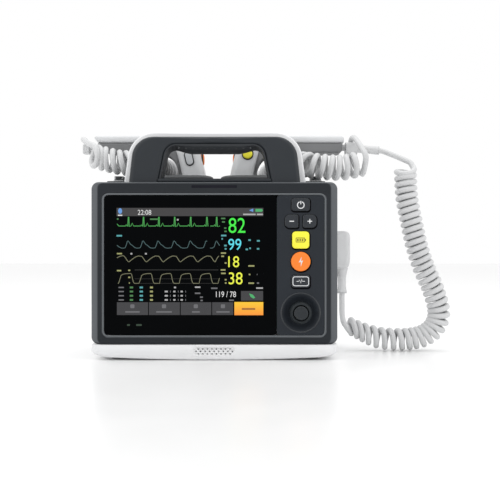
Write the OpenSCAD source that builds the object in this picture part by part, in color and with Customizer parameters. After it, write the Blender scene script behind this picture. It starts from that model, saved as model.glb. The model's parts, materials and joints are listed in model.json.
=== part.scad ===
// Portable defibrillator monitor with a carry handle, a pair of hand paddles on a top tray
// and coiled cords. X runs right as seen from the front, Y runs to the rear, Z runs up.
// The origin is on the surface that the unit stands on, under the middle of the object.

/* [Housing] */
// Width of the housing
body_w = 270; // [266:1:274]
// Height of the top face above the table
body_top = 197; // [196:0.5:198]
// Height of the white chin under the bezel
chin_h = 17.5; // [16.5:0.5:18.5]
// Corner radius of the housing seen from the front
corner_r = 8; // [5:0.5:10]
// Wall thickness of the shells
wall = 3; // [2.5:0.25:3.25]

/* [Display] */
// Width of the lit area
screen_w = 161.4; // [155:0.2:163]
// Height of the lit area
screen_h = 118; // [112:0.5:120]

/* [Keys] */
// Travel room between a key and its dome
key_gap = 2; // [1.8:0.1:2.2]
// Clearance around a key cap
key_clear = 0.4; // [0.3:0.05:0.6]
// Radius of the shock key
shock_r = 10.75; // [10:0.25:11]
// Radius of the control knob
knob_r = 12.25; // [11:0.25:13]

/* [Handle] */
// Height of the dark front face of the handle
handle_top = 246; // [244:1:248]
// How far the light rear shell stands out past the front face
handle_flare = 8; // [5:0.5:9]

/* [Paddles] */
// Height of the top of the paddle grips
grip_top = 261; // [259:0.5:263]
// Half length from the middle to a grip's far end
grip_reach = 151; // [148:0.5:152]

/* [Cords] */
// Diameter of the cord
cord_d = 6.2; // [5.5:0.1:6.5]
// Outer radius of the main curly cord
coil_r = 13.5; // [12.5:0.1:13.7]
// Outer radius of the curly cord between the paddles
link_r = 13; // [12:0.1:13.2]

/* [Hidden] */
$fn = 64;

side_x = body_w / 2;
face_y = -78;       // front face of the bezel
joint_y = -50;      // where the bezel meets the rear housing
back_y = 80;        // rear face of the rear housing
rear_y = 87;        // rear of the bumpers
floor_z = 1.5;      // underside of the base between the feet
ledge_y = face_y + 1.6;   // ledge that carries the glass and the keypad
pane_y = face_y + 0.2;    // front of the glass and of the keypad
panel_back = -75.2;
board_y = -64;      // front of the control board

screen_x = -26.7;   // middle of the lit area
screen_z = 109;

key_x = 95.2;       // column of keys
power_z = 171.6;
volume_z = 153.3;
volume_dx = 9.95;
charge_z = 132.7;
shock_z = 109;
mode_z = 87.3;
knob_z = 52.6;
well_r = 22;

tray_top = 201.5;
plate_z = 203.5;    // underside of a paddle's dark base
plate_top = 211;
grip_y0 = 10;
grip_y1 = 44;
leg_y0 = 7;
leg_y1 = 47;
soft_z = 240;       // underside of the paddle grips
gland_y = 27;
gland_z = 248;

bay = [-74, 8, 24, 72];         // battery bay: low x, high x, low z, high z
bay_front = -30;
rec_y = [-40, 36];              // recorder bay
rec_z = [28, 98];
rec_in = -80;
hinge_x = -137.5;
hinge_z = 30;
pocket = [50, 110, 140, 170];   // rear connector pocket: low x, high x, low z, high z
pocket_front = 66;
socket_y = 6;
socket_z = [94, 150];
feet_xy = [[-108, -52], [108, -52], [-108, 56], [108, 56]];
bumper_xz = [[-116, 25.5], [116, 25.5], [-116, 182], [116, 182]];
screw_xz = [[-124, 40], [124, 40], [-124, 166], [124, 166]];
select_xz = [34.4, 232.6];      // energy select key, middle on the right paddle

// Middle lines of the cords, point by point
main_low_route = [
    [150.5, 6, 69.6], [150.5, 6, 58], [150.6, 6, 48], [151.2, 6, 41],
    [152.6, 6, 36], [154.9, 6, 32.8], [157.68, 6, 31.16]
];
main_coil_route = [
    [158, 6, 31], [168, 6, 26], [179, 6, 21], [191, 6, 16.9],
    [202, 6, 14.8], [212, 6, 14.2], [222, 6, 14], [233, 6, 14.6],
    [244, 6, 16.5], [254, 6, 21], [262, 6, 28.5], [266.5, 6, 38],
    [267.5, 6, 47], [266, 6, 57], [260, 6, 76], [254, 6, 90],
    [248.5, 6, 103], [241, 6, 126], [235, 6, 153], [229, 6, 184],
    [227.5, 6, 207], [227, 6, 220]
];
main_high_route = [
    [237, 6, 220.9], [237, 6.4, 223], [236.3, 8, 225.4], [234, 10.8, 227.8],
    [230, 13.5, 230.4], [224, 16.4, 233.6], [217.5, 19.6, 237], [211.5, 22.8, 240],
    [206.5, 25.4, 242.5], [203, 26.7, 243.8], [199.2, 27, 244.44]
];
link_right_route = [
    [170, -7, 225], [163, -8, 222.4], [154, -8, 220.3], [145, -8, 219.5],
    [136, -8, 219.9], [127, -8, 220.7], [118, -7.5, 221.8], [110, -5, 223.2],
    [104, 1, 224.6], [100, 10, 225.5], [96, 22, 225.5], [91, 35, 225.5],
    [85, 47, 225.5], [77, 60, 225.5], [68, 74, 224], [58, 88, 214],
    [46, 96, 199], [34, 99, 182], [22, 100, 167], [12, 100, 158.2],
    [5, 100, 154.8], [0.3, 100, 154.8]
];
link_left_route = [
    [-149, -13, 234.5], [-142.5, -8.5, 232.5], [-134, -6, 230.3], [-121, -6, 227.2],
    [-109, -5, 225.5], [-98, -1, 225.5], [-88, 8, 225.5], [-81, 20, 225.5],
    [-77, 34, 225.5], [-73, 49, 225.5], [-68, 63, 225.5], [-62, 77, 224],
    [-54, 89, 214], [-44, 96, 199], [-33, 99, 182], [-22, 100, 167],
    [-12, 100, 158.2], [-5, 100, 154.8], [-0.3, 100, 154.8]
];
lead_right_route = [
    [164, 27, 254.15], [164, 27, 256.4], [164.8, 22, 259], [166.5, 13, 258.3],
    [169.5, 3, 251.5], [173.4, -7, 242], [176.5, -14, 231], [179.5, -17, 224.8],
    [182.6, -15.4, 221.8], [183.2, -11, 222.8], [180.6, -7.8, 224.9], [176.8, -7, 225.8],
    [170.35, -6.95, 225.13]
];
lead_left_route = [
    [-162, 27, 251.65], [-162, 26.7, 253.8], [-163, 22.5, 256], [-163.5, 14, 256.2],
    [-161.5, 6, 254.8], [-157.4, -1, 251.6], [-156.6, -8, 247], [-159, -14.5, 242],
    [-159, -18.6, 238.6], [-155, -17.4, 236.5], [-149.3, -13.2, 234.6]
];

// ---------- shared shapes ----------

module rrect(w, h, r) {
    if (r > 0) {
        square([w - 2 * r, h], center = true);
        square([w, h - 2 * r], center = true);
        for (sx = [-1, 1], sy = [-1, 1])
            translate([sx * (w / 2 - r), sy * (h / 2 - r)]) circle(r);
    } else {
        square([w, h], center = true);
    }
}

// A box between two corners
module box(x0, x1, y0, y1, z0, z1) {
    translate([x0, y0, z0]) cube([x1 - x0, y1 - y0, z1 - z0]);
}

// A plate that faces the front, with rounded corners
module slab_y(x0, x1, z0, z1, y0, y1, r = 0) {
    translate([(x0 + x1) / 2, y1, (z0 + z1) / 2])
        rotate([90, 0, 0]) linear_extrude(y1 - y0) rrect(x1 - x0, z1 - z0, r);
}

// A plate that lies flat, with rounded corners
module slab_z(x0, x1, y0, y1, z0, z1, r = 0) {
    translate([(x0 + x1) / 2, (y0 + y1) / 2, z0])
        linear_extrude(z1 - z0) rrect(x1 - x0, y1 - y0, r);
}

// A plate that faces the side, with rounded corners
module slab_x(y0, y1, z0, z1, x0, x1, r = 0) {
    translate([x0, (y0 + y1) / 2, (z0 + z1) / 2])
        rotate([90, 0, 90]) linear_extrude(x1 - x0) rrect(y1 - y0, z1 - z0, r);
}

module rod_y(x, z, y0, y1, r) {
    translate([x, y1, z]) rotate([90, 0, 0]) cylinder(h = y1 - y0, r = r);
}

module rod_x(y, z, x0, x1, r) {
    translate([x0, y, z]) rotate([0, 90, 0]) cylinder(h = x1 - x0, r = r);
}

// A profile of radius and depth, turned about an axis that runs to the rear
module turned_y(x, y, z, profile) {
    translate([x, y, z]) rotate([-90, 0, 0]) rotate_extrude() polygon(profile);
}

// ---------- cords ----------

function unit(v) = v / norm(v);
function heading(pts, i) =
    unit(pts[min(i + 1, len(pts) - 1)] - pts[max(i - 1, 0)]);

// One closed tube swept along a list of points
module tube(pts, r, up, sides = 10) {
    count = len(pts);
    rings = [
        for (i = [0 : count - 1])
            let (t = heading(pts, i), u = unit(cross(up, t)), v = cross(t, u))
                for (j = [0 : sides - 1])
                    pts[i] + r * (cos(360 * j / sides) * u + sin(360 * j / sides) * v)
    ];
    walls = [
        for (i = [0 : count - 2], j = [0 : sides - 1])
            let (k = (j + 1) % sides, a = i * sides, b = a + sides)
                each [[a + j, b + j, b + k], [a + j, b + k, a + k]]
    ];
    first = [for (j = [0 : sides - 1]) j];
    last = [for (j = [0 : sides - 1]) count * sides - 1 - j];
    polyhedron(points = rings, faces = concat(walls, [first, last]), convexity = 6);
}

module main_lead_low() {
    color("gainsboro") tube(main_low_route, cord_d / 2, [0, 1, 0], 8);
}

module main_coil() {
    color("gainsboro") tube(main_coil_route, coil_r, [0, 1, 0], 12);
}

module main_lead_high() {
    color("gainsboro") tube(main_high_route, cord_d / 2, [0, 1, 0], 8);
}

module link_coil_right() {
    color("gainsboro") tube(link_right_route, link_r, [0, 0, 1]);
}

module link_lead_right() {
    color("gainsboro") tube(lead_right_route, cord_d / 2, [1, 0, 1], 8);
}

module link_coil_left() {
    color("gainsboro") tube(link_left_route, link_r, [0, 0, 1]);
}

module link_lead_left() {
    color("gainsboro") tube(lead_left_route, cord_d / 2, [1, 0, 1], 8);
}

// Plug in the therapy socket, with its nose and its strain relief
module plug() {
    color("silver") {
        slab_x(socket_y - 12, socket_y + 12, 99, 144.6, side_x + 1.2, 159.5, 6);
        slab_x(socket_y - 10, socket_y + 10, 102, 142, 119, side_x + 1.3, 5);
        translate([150.5, socket_y, 69.6])
            rotate_extrude()
                polygon([[0, 0], [5, 0], [5.6, 8], [7, 20], [8.6, 29.6], [0, 29.6]]);
    }
}

// Junction at the right grip's end, with the strain relief of the main cord
module right_gland() {
    color("silver") {
        rod_x(gland_y, gland_z, grip_reach - 4, 158, 4);
        slab_x(gland_y - 9, gland_y + 9, soft_z - 1, 254, 157, 171, 4);
        translate([170, gland_y, 247])
            rotate([0, 95, 0]) cylinder(h = 29, r1 = 5.4, r2 = 4.6);
    }
}

module left_gland() {
    color("silver") {
        rod_x(gland_y, gland_z - 2, -159, 4 - grip_reach, 4);
        slab_x(gland_y - 7, gland_y + 7, soft_z, 251.5, -166, -158, 3);
    }
}

// ---------- housing ----------

// White pan under the unit, whose chin carries the speaker holes
module base_housing() {
    color("whitesmoke") {
        difference() {
            hull() {
                slab_z(-side_x, side_x, face_y, back_y, 10, chin_h, 9);
                slab_z(-side_x + 1.5, side_x - 1.5, face_y + 0.6, back_y - 1, 6.5, 7, 9);
                slab_z(-side_x + 6, side_x - 6, face_y + 2.2, back_y - 3, 3, 3.5, 9);
                slab_z(-side_x + 15, side_x - 15, face_y + 6, back_y - 8, floor_z, 2, 9);
            }
            slab_z(-131, 131, face_y + 4, back_y - 4, 6, chin_h + 1, 6);
            for (p = feet_xy)
                translate([p[0], p[1], floor_z - 1]) cylinder(h = 2.8, r = 9.3);
            for (i = [-4 : 3], row = [0, 1])
                rod_y(5 * i + 2.5, 12.7 - 5.4 * row, face_y - 1, face_y + 5, 1);
            for (i = [-4 : 4])
                rod_y(5 * i, 10, face_y - 1, face_y + 5, 1);
        }
        // Saddles under the capacitor
        for (y = [-30, 22])
            difference() {
                box(46, 78, y, y + 8, 5, 44);
                rod_y(62, 60, y - 1, y + 9, 23.3);
            }
        // Posts under the battery bay
        for (x = [-60, -6], y = [-20, 60])
            translate([x, y, 5]) cylinder(h = 16.8, r = 4);
    }
}

// White shell behind the bezel
module rear_housing() {
    color("whitesmoke") {
        difference() {
            hull() {
                slab_y(-side_x, side_x, chin_h, body_top, joint_y, back_y - 6, corner_r);
                slab_y(1.5 - side_x, side_x - 1.5, chin_h, body_top - 1.2, back_y - 2.5, back_y - 2, corner_r);
                slab_y(5 - side_x, side_x - 5, chin_h + 1, body_top - 4, back_y - 0.5, back_y, corner_r);
            }
            box(wall - side_x, side_x - wall, joint_y - 1, back_y - wall, chin_h - 1, body_top - wall);
            // Recorder, patient sockets and therapy socket
            box(-side_x - 1, -side_x + 5, rec_y[0], rec_y[1], rec_z[0], rec_z[1]);
            slab_x(-32, 64, 106, 178, -side_x - 1, -side_x + 5, 6);
            slab_x(socket_y - 16, socket_y + 16, socket_z[0], socket_z[1], side_x - 5, side_x + 1, 5);
            // Battery, mains inlet, connector pocket and earth stud
            box(bay[0], bay[1], back_y - 5, back_y + 1, bay[2], bay[3]);
            slab_y(36, 84, 28, 60, back_y - 5, back_y + 1, 4);
            box(pocket[0], pocket[1], back_y - 5, back_y + 1, pocket[2], pocket[3]);
            rod_y(104, 44, back_y - 5, back_y + 1, 5.2);
            for (p = screw_xz)
                rod_y(p[0], p[1], back_y - 5, back_y + 1, 4.1);
            for (i = [0 : 8])
                slab_y(-104 + 10 * i, -100 + 10 * i, 116, 170, back_y - 5, back_y + 1, 1.9);
            for (i = [0 : 5])
                slab_y(44 + 10 * i, 48 + 10 * i, 84, 124, back_y - 5, back_y + 1, 1.9);
            for (p = bumper_xz)
                rod_y(p[0], p[1], back_y - 1.5, back_y + 1, 7.3);
        }
        // Sleeve of the battery bay
        difference() {
            box(bay[0] - 2, bay[1] + 2, bay_front - 2, back_y - wall, bay[2] - 2, bay[3] + 2);
            box(bay[0], bay[1], bay_front, back_y, bay[2], bay[3]);
        }
        // Walls of the connector pocket
        difference() {
            box(pocket[0] - 2, pocket[1] + 2, pocket_front - 2, back_y - wall, pocket[2] - 2, pocket[3] + 2);
            box(pocket[0], pocket[1], pocket_front, back_y, pocket[2], pocket[3]);
        }
        // Hinge ears of the connector cover
        for (x = [pocket[0] + 2, pocket[1] - 5.6])
            difference() {
                union() {
                    rod_x(back_y + 1.9, pocket[3] + 2.6, x, x + 3.6, 2.2);
                    box(x, x + 3.6, back_y - 1, back_y + 1.9, pocket[3] + 0.4, pocket[3] + 4.8);
                }
                rod_x(back_y + 1.9, pocket[3] + 2.6, x - 1, x + 5, 1.27);
            }
        // Screw bosses in the rear corners
        for (p = screw_xz)
            difference() {
                rod_y(p[0], p[1], 67, back_y - wall + 0.5, 6);
                rod_y(p[0], p[1], 66, back_y, 2.2);
                rod_y(p[0], p[1], back_y - 5.5, back_y, 4.1);
            }
    }
}

// Dark frame around the window
module front_bezel() {
    color("#3b4045") difference() {
        hull() {
            slab_y(-side_x, side_x, chin_h, body_top, -72, joint_y, corner_r);
            slab_y(1.5 - side_x, side_x - 1.5, chin_h, body_top - 0.3, -74.5, -74, corner_r);
            slab_y(4 - side_x, side_x - 4, chin_h + 0.4, body_top - 0.8, -76.7, -76.4, corner_r - 1);
            slab_y(7.5 - side_x, side_x - 7.5, chin_h + 1, body_top - 1.5, face_y, face_y + 0.2, corner_r - 2);
        }
        // Room behind the face
        slab_y(-131.5, 131.5, chin_h + 3, body_top - 3, -74, joint_y + 1, 5);
        // Recess for the glass and the keypad
        slab_y(-123, 123, 26, 184, face_y - 1, ledge_y, 6);
        slab_y(-110, 56.6, 47.5, 170.5, face_y, -73, 1);
        slab_y(73, 118, 29.5, 181, face_y, -73, 2);
        slab_y(-25.3, 25.3, 189.7, 193.3, face_y - 1, -73, 1);
    }
    // Posts that carry the control board
    color("#3b4045")
        for (x = [67.5, 124.5], z = [38, 172])
            rod_y(x, z, -74.5, board_y, 3);
}

module display_glass() {
    color("#101214") slab_y(-121, 68.6, 28, 182, pane_y, ledge_y, 4);
}

// Display panel in its metal frame
module lcd_module() {
    color("#30343a") {
        slab_y(-116, 62, 42, 176, -74, -67, 1.5);
        slab_y(screen_x - screen_w / 2, screen_x + screen_w / 2, screen_z - screen_h / 2,
               screen_z + screen_h / 2, ledge_y + 0.4, -73.9, 0);
    }
}

// ---------- keypad ----------

// Outline of the two volume keys: a rounded square with a deeper round on its outer side
module volume_shape(side, c) {
    translate([-side * 2, 0]) rrect(10.5 + 2 * c, 14.5 + 2 * c, 2 + c);
    translate([side * 2, 0]) rrect(10.5 + 2 * c, 14.5 + 2 * c, 5 + c);
}

module key_shape(name, c = 0) {
    if (name == "power" || name == "mode") rrect(20 + 2 * c, 14 + 2 * c, 3 + c);
    if (name == "minus") volume_shape(-1, c);
    if (name == "plus") volume_shape(1, c);
    if (name == "charge") rrect(19 + 2 * c, 19 + 2 * c, 4 + c);
    if (name == "shock") circle(shock_r + c);
}

KEYS = [
    ["power", key_x, power_z], ["minus", key_x - volume_dx, volume_z],
    ["plus", key_x + volume_dx, volume_z], ["charge", key_x, charge_z],
    ["shock", key_x, shock_z], ["mode", key_x, mode_z]
];

module at_key(i) {
    translate([KEYS[i][1], 0, KEYS[i][2]]) rotate([90, 0, 0]) children();
}

// A key cap with its retaining flange and its stem
module key(i, front) {
    at_key(i) {
        translate([0, 0, 74]) linear_extrude(front - 74) key_shape(KEYS[i][0]);
        translate([0, 0, 73.4]) linear_extrude(1.4) key_shape(KEYS[i][0], 0.9);
        translate([0, 0, -board_y + key_gap]) cylinder(h = 9, r = 2.5);
    }
}

module power_key() { color("#565c61") key(0, 79); }
module minus_key() { color("#565c61") key(1, 79); }
module plus_key() { color("#565c61") key(2, 79); }
module charge_key() { color("gold") key(3, 79.4); }
module shock_key() { color("orangered") key(4, 79.4); }
module mode_key() { color("#565c61") key(5, 79); }

// Panel around the keys, with the dished well of the knob
module keypad_panel() {
    color("#4b5156") {
        difference() {
            union() {
                slab_y(69, 121, 28, 182, pane_y, ledge_y, 4);
                slab_y(73.5, 117.5, 30, 180.5, ledge_y - 0.1, panel_back, 2);
            }
            for (i = [0 : 5])
                at_key(i) translate([0, 0, 70]) linear_extrude(10) key_shape(KEYS[i][0], key_clear);
            rod_y(key_x, knob_z, -80, -70, well_r - 0.2);
        }
        turned_y(key_x, pane_y, knob_z,
                 [[21.3, 0], [well_r, 0], [well_r, 2.6], [13.6, 7.1], [4.5, 7.1], [4.5, 5.6], [13, 5.6]]);
    }
}

module alarm_lamp_lens() {
    color("#555b66") slab_y(-25, 25, 190, 193, face_y - 0.2, -73, 0.8);
}

module control_board() {
    color("seagreen") slab_y(64, 128, 34, 176, board_y, board_y + 1.6, 2);
}

module encoder_body() {
    color("dimgray") difference() {
        slab_y(key_x - 8, key_x + 8, knob_z - 8, knob_z + 8, -70.3, board_y, 1);
        rod_y(key_x, knob_z, -71, board_y + 1, 3.05);
    }
}

module encoder_plunger() {
    color("lightgray") rod_y(key_x, knob_z, -84, board_y - 2, 3);
}

// Knob that turns on the plunger
module control_knob() {
    color("#2c3034") difference() {
        turned_y(key_x, -87, knob_z, [
            [0, 0], [6.6, 0], [7.75, 0.8], [7.75, 2.6], [9.4, 3.4], [knob_r - 0.8, 4.4],
            [knob_r, 5.4], [knob_r, 13.1], [0, 13.1]
        ]);
        rod_y(key_x, knob_z, -84, -70, 3.05);
    }
}

// ---------- inside ----------

module main_board() {
    color("seagreen") {
        slab_y(-118, 60, 40, 178, -67, -65.4, 2);
        box(-90, -50, -65.5, -60, 90, 130);
        box(-30, 10, -65.5, -62, 60, 100);
    }
}

module power_board() {
    color("seagreen") {
        box(-72, 8, -28, 70, 82, 83.6);
        box(-50, -20, 0, 40, 83.5, 108);
        for (x = [-66, 2], y = [-22, 64])
            translate([x, y, bay[3] + 2]) cylinder(h = 8.1, r = 3);
        for (y = [-16, 50])
            translate([-8, y, 83.5]) cylinder(h = 22, r = 8);
    }
}

module hv_capacitor() {
    color("steelblue") {
        rod_y(62, 60, -38, 38, 23);
        for (dx = [-8, 8])
            rod_y(62 + dx, 60, 37.9, 44, 3);
    }
}

module speaker() {
    color("#2a2a2a") difference() {
        slab_z(-22, 22, -70, -38, 6, 16.5, 4);
        translate([0, -54, 12]) cylinder(h = 5, r1 = 8, r2 = 14);
    }
}

// ---------- handle ----------

module arch_shape(grow) {
    hull() {
        for (s = [-1, 1]) {
            translate([s * (94 + grow), body_top + 0.5]) square(1, center = true);
            translate([s * 68.5, handle_top - 22]) circle(22 + grow, $fn = 48);
        }
    }
}

module arch_opening() {
    hull() {
        for (s = [-1, 1]) {
            translate([s * 60, body_top + 5]) circle(1, $fn = 16);
            translate([s * 42, handle_top - 21]) circle(14, $fn = 48);
        }
    }
}

module handle_part(y0, y1, grow) {
    translate([0, y1, 0]) rotate([90, 0, 0])
        linear_extrude(y1 - y0) difference() {
            intersection() {
                arch_shape(grow);
                translate([-150, body_top]) square([300, 100]);
            }
            arch_opening();
        }
}

module handle_front() { color("#3b4045") handle_part(-72, -58, 0); }
module handle_rear() { color("whitesmoke") handle_part(-58, -38, handle_flare); }

// Soft underside of the grip
module grip_insert() {
    color("#2c3034") translate([0, -38, 0]) rotate([90, 0, 0])
        linear_extrude(30) intersection() {
            arch_opening();
            translate([-60, handle_top - 15]) square([120, 20]);
        }
}

// ---------- tray and paddles ----------

module paddle_tray() {
    color("#4b5156") {
        difference() {
            slab_z(-127, 127, -34, 78, body_top, tray_top, 6);
            for (s = [-1, 1])
                slab_z(s * 52 - 26, s * 52 + 26, 2, 52, tray_top - 1, tray_top + 1, 4);
        }
        for (s = [-1, 1])
            translate([s * 120, 27, tray_top - 0.5]) linear_extrude(10) rrect(12, 34, 3);
    }
}

// Metal plates that the electrodes rest on for the discharge test
module tray_contacts() {
    color("lightgray")
        for (s = [-1, 1])
            slab_z(s * 52 - 25.6, s * 52 + 25.6, 2.4, 51.6, tray_top - 1, tray_top + 0.5, 3.6);
}

module paddle_base() {
    color("#4b5156") hull() {
        slab_z(4, 100, -16, 70, plate_z, plate_z + 3.5, 12);
        slab_z(6.5, 97.5, -13.5, 67.5, plate_top - 1, plate_top - 0.8, 12);
        slab_z(12, 92, -8, 62, plate_top - 0.2, plate_top, 12);
    }
}

module paddle_electrode() {
    color("lightgray") slab_z(7, 97, -13, 67, tray_top + 0.5, plate_z, 10);
}

module paddle_leg() {
    hull() {
        slab_z(15, 44, leg_y0, leg_y1, plate_top, plate_top + 1.5, 9);
        slab_z(21.5, 52, leg_y0 + 2, leg_y1 - 2, soft_z + 2, soft_z + 4, 8);
    }
}

// Light shell: leg and the upper half of the grip
module paddle_shell(key_hole) {
    color("silver") difference() {
        union() {
            paddle_leg();
            hull() {
                slab_y(22, grip_reach, 252, grip_top - 3, grip_y0, grip_y1, 3);
                slab_y(25, grip_reach - 2.5, 254, grip_top, grip_y0 + 5, grip_y1 - 5, 3);
            }
            slab_y(22, 56, soft_z + 2, 256, grip_y0, grip_y1, 6);
        }
        rod_x(gland_y, 233, 10, 28.5, 7.4);
        if (key_hole == "round") rod_y(36.5, 238, 0, 14, 6.2);
        if (key_hole == "oval") select_cut(0.4, 0, 14);
    }
}

// Tilted oval of the selector key
module select_cut(c, y0, y1) {
    translate([select_xz[0], y1, select_xz[1]])
        rotate([90, 0, 0]) rotate([0, 0, -14]) linear_extrude(y1 - y0) {
        square([8 + 2 * c, 8], center = true);
        for (s = [-1, 1])
            translate([0, s * 4]) circle(4 + c);
    }
}

// Soft lower half of the grip, which runs down the outside of the leg
module paddle_grip() {
    color("#5a5f64") difference() {
        union() {
            slab_y(50, grip_reach - 4, soft_z, 252, grip_y0 + 1, grip_y1 - 1, 5);
            translate([0, grip_y1 - 2, 0]) rotate([90, 0, 0])
                linear_extrude(grip_y1 - grip_y0 - 4) difference() {
                    translate([43, plate_top]) square([31, soft_z + 6 - plate_top]);
                    translate([74, soft_z - 26]) circle(26);
                    translate([48, plate_top - 1]) square([40, 4]);
                }
        }
        paddle_leg();
        slab_y(22, 56, soft_z + 2, 256, grip_y0, grip_y1, 6);
    }
}

module round_key_x(out) {
    rod_x(gland_y, 233, 20.2 - out, 26, 7);
}

module mirror_x() { mirror([1, 0, 0]) children(); }

module paddle_right_base() { paddle_base(); }
module paddle_right_electrode() { paddle_electrode(); }
module paddle_right_shell() { paddle_shell("round"); }
module paddle_right_grip() { paddle_grip(); }
module paddle_right_charge_key() { color("gold") rod_y(36.5, 238, 5.5, 12.5, 5.85); }
module paddle_right_shock_key() { color("orangered") round_key_x(0.4); }

module paddle_left_base() { mirror_x() paddle_base(); }
module paddle_left_electrode() { mirror_x() paddle_electrode(); }
module paddle_left_shell() { mirror_x() paddle_shell("oval"); }
module paddle_left_grip() { mirror_x() paddle_grip(); }
module paddle_left_select_key() { color("whitesmoke") mirror_x() select_cut(0, 6, 12.5); }
module paddle_left_shock_key() { color("orangered") mirror_x() round_key_x(1.8); }

// ---------- sides and rear ----------

// Patient connectors on the left side: a plate with two round and two flat sockets
module side_ports() {
    color("#dfe3e6") difference() {
        union() {
            slab_x(-31.6, 63.6, 106.4, 177.6, -side_x + 0.5, -side_x + 4, 5.6);
            slab_x(-34, 66, 104, 180, -side_x + 3.2, -side_x + 6, 6);
            rod_x(-10, 152, -side_x - 3, -side_x + 14, 13);
            rod_x(44, 156, -side_x - 3, -side_x + 14, 7);
        }
        rod_x(-10, 152, -side_x - 4, -side_x + 8, 8);
        rod_x(44, 156, -side_x - 4, -side_x + 10, 3);
        slab_x(10, 30, 146, 160, -side_x - 1, -side_x + 5.2, 2);
        slab_x(32, 56, 114, 130, -side_x - 1, -side_x + 5.2, 2);
        slab_x(-24, 16, 112, 128, -side_x - 1, -side_x + 5.2, 2);
    }
}

// Socket on the right side that takes the plug of the paddles
module therapy_socket() {
    color("#5a5f64") difference() {
        union() {
            slab_x(socket_y - 15.6, socket_y + 15.6, socket_z[0] + 0.4, socket_z[1] - 0.4, 114, side_x + 0.8, 4.6);
            slab_x(socket_y - 18, socket_y + 18, socket_z[0] - 2, socket_z[1] + 2, 126, side_x - wall, 5);
        }
        slab_x(socket_y - 10.6, socket_y + 10.6, 101.4, 142.6, 117, side_x + 2, 5.4);
    }
}

// Box of the strip chart recorder, with the hinge ears and the pin
module recorder_frame() {
    color("#4b5156") {
        difference() {
            box(-side_x + 0.5, rec_in, rec_y[0] + 0.5, rec_y[1] - 0.5, rec_z[0] + 0.5, rec_z[1] - 0.5);
            box(-side_x - 1, rec_in - 3, rec_y[0] + 3.5, rec_y[1] - 3.5, rec_z[0] + 3.5, rec_z[1] - 3.5);
        }
        // Spindle of the paper roll
        rod_y(-107, 62, rec_y[0] + 3, rec_y[1] - 3, 4);
        for (y = [-25, 17]) {
            rod_y(hinge_x, hinge_z, y, y + 4, 2.5);
            box(hinge_x, -side_x + 1, y, y + 4, hinge_z - 1.4, hinge_z + 1.4);
        }
        rod_y(hinge_x, hinge_z, -25, 21, 1.2);
    }
}

module recorder_door() {
    color("#dfe3e6") difference() {
        union() {
            slab_x(rec_y[0], rec_y[1], 33, rec_z[1], -139.5, -136, 3);
            rod_y(hinge_x, hinge_z, -20.7, 16.7, 2.5);
            box(-139.5, -137.5, -20.7, 16.7, hinge_z, 34);
        }
        rod_y(hinge_x, hinge_z, -30, 30, 1.28);
        slab_x(-24, 20, 86, 89, -141, -135, 1.4);
        slab_x(-20, 16, 44, 74, -141, -138.5, 3);
    }
}

module paper_roll() {
    color("white") difference() {
        rod_y(-107, 62, -32, 28, 21);
        rod_y(-107, 62, -33, 29, 4.06);
    }
}

// Mains inlet with its three pins
module ac_inlet() {
    color("#2a2a2a") difference() {
        union() {
            slab_y(36.4, 83.6, 28.4, 59.6, back_y - 4, back_y + 1, 3.6);
            slab_y(44, 76, 32, 56, 54, back_y - 3.9, 3);
        }
        slab_y(48, 72, 36, 52, 60, back_y + 2, 2.5);
    }
    color("lightgray") {
        for (x = [53, 67])
            box(x - 1, x + 1, 59, 73, 40, 44);
        box(59, 61, 59, 73, 45, 49);
    }
}

module ground_stud() {
    color("lightgray") {
        rod_y(104, 44, 70, rear_y - 0.5, 3);
        rod_y(104, 44, 70, back_y - 1, 5);
        rod_y(104, 44, back_y - wall - 2, back_y - wall, 8);
    }
}

// Battery that slides out to the rear, with a finger pull in its end cap
module battery_pack() {
    color("#3b4045") difference() {
        box(bay[0] + 0.6, bay[1] - 0.6, bay_front + 1, back_y + 1.5, bay[2] + 0.6, bay[3] - 0.6);
        box(-52, -14, 68, back_y + 2, 36, 60);
    }
}

// Catch in the finger pull
module battery_latch() {
    color("#c8ccd0") {
        box(-44, -22, 76, 80, 52.4, 58.4);
        box(-38, -28, 70, 77, 54.4, 58.4);
    }
}

// Flexible cover of the rear connectors, hinged along its top edge
module port_cover() {
    color("#4b5156") {
        slab_y(pocket[0] - 2, pocket[1] + 2, pocket[2] - 2, pocket[3] - 0.2, back_y + 0.4, back_y + 2.4, 3);
        rod_x(back_y + 1.9, pocket[3] + 2.6, pocket[0] + 1, pocket[1] - 1, 1.2);
        box(pocket[0] + 7, pocket[1] - 7, back_y + 0.9, back_y + 2.4, pocket[3] - 0.5, pocket[3] + 2.4);
    }
}

module rubber_feet() {
    color("#2a2a2a") {
        for (p = feet_xy)
            translate([p[0], p[1], 0]) cylinder(h = 3.3, r = 9);
        for (p = bumper_xz)
            rod_y(p[0], p[1], back_y - 1.5, rear_y, 7);
    }
}

module housing_screws() {
    color("lightgray")
        for (p = screw_xz)
            difference() {
                union() {
                    rod_y(p[0], p[1], back_y - 5.5, back_y - 2.5, 3.6);
                    rod_y(p[0], p[1], 61, back_y - 5.4, 1.9);
                }
                rod_y(p[0], p[1], back_y - 4, back_y, 1.6, $fn = 6);
            }
}

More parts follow.
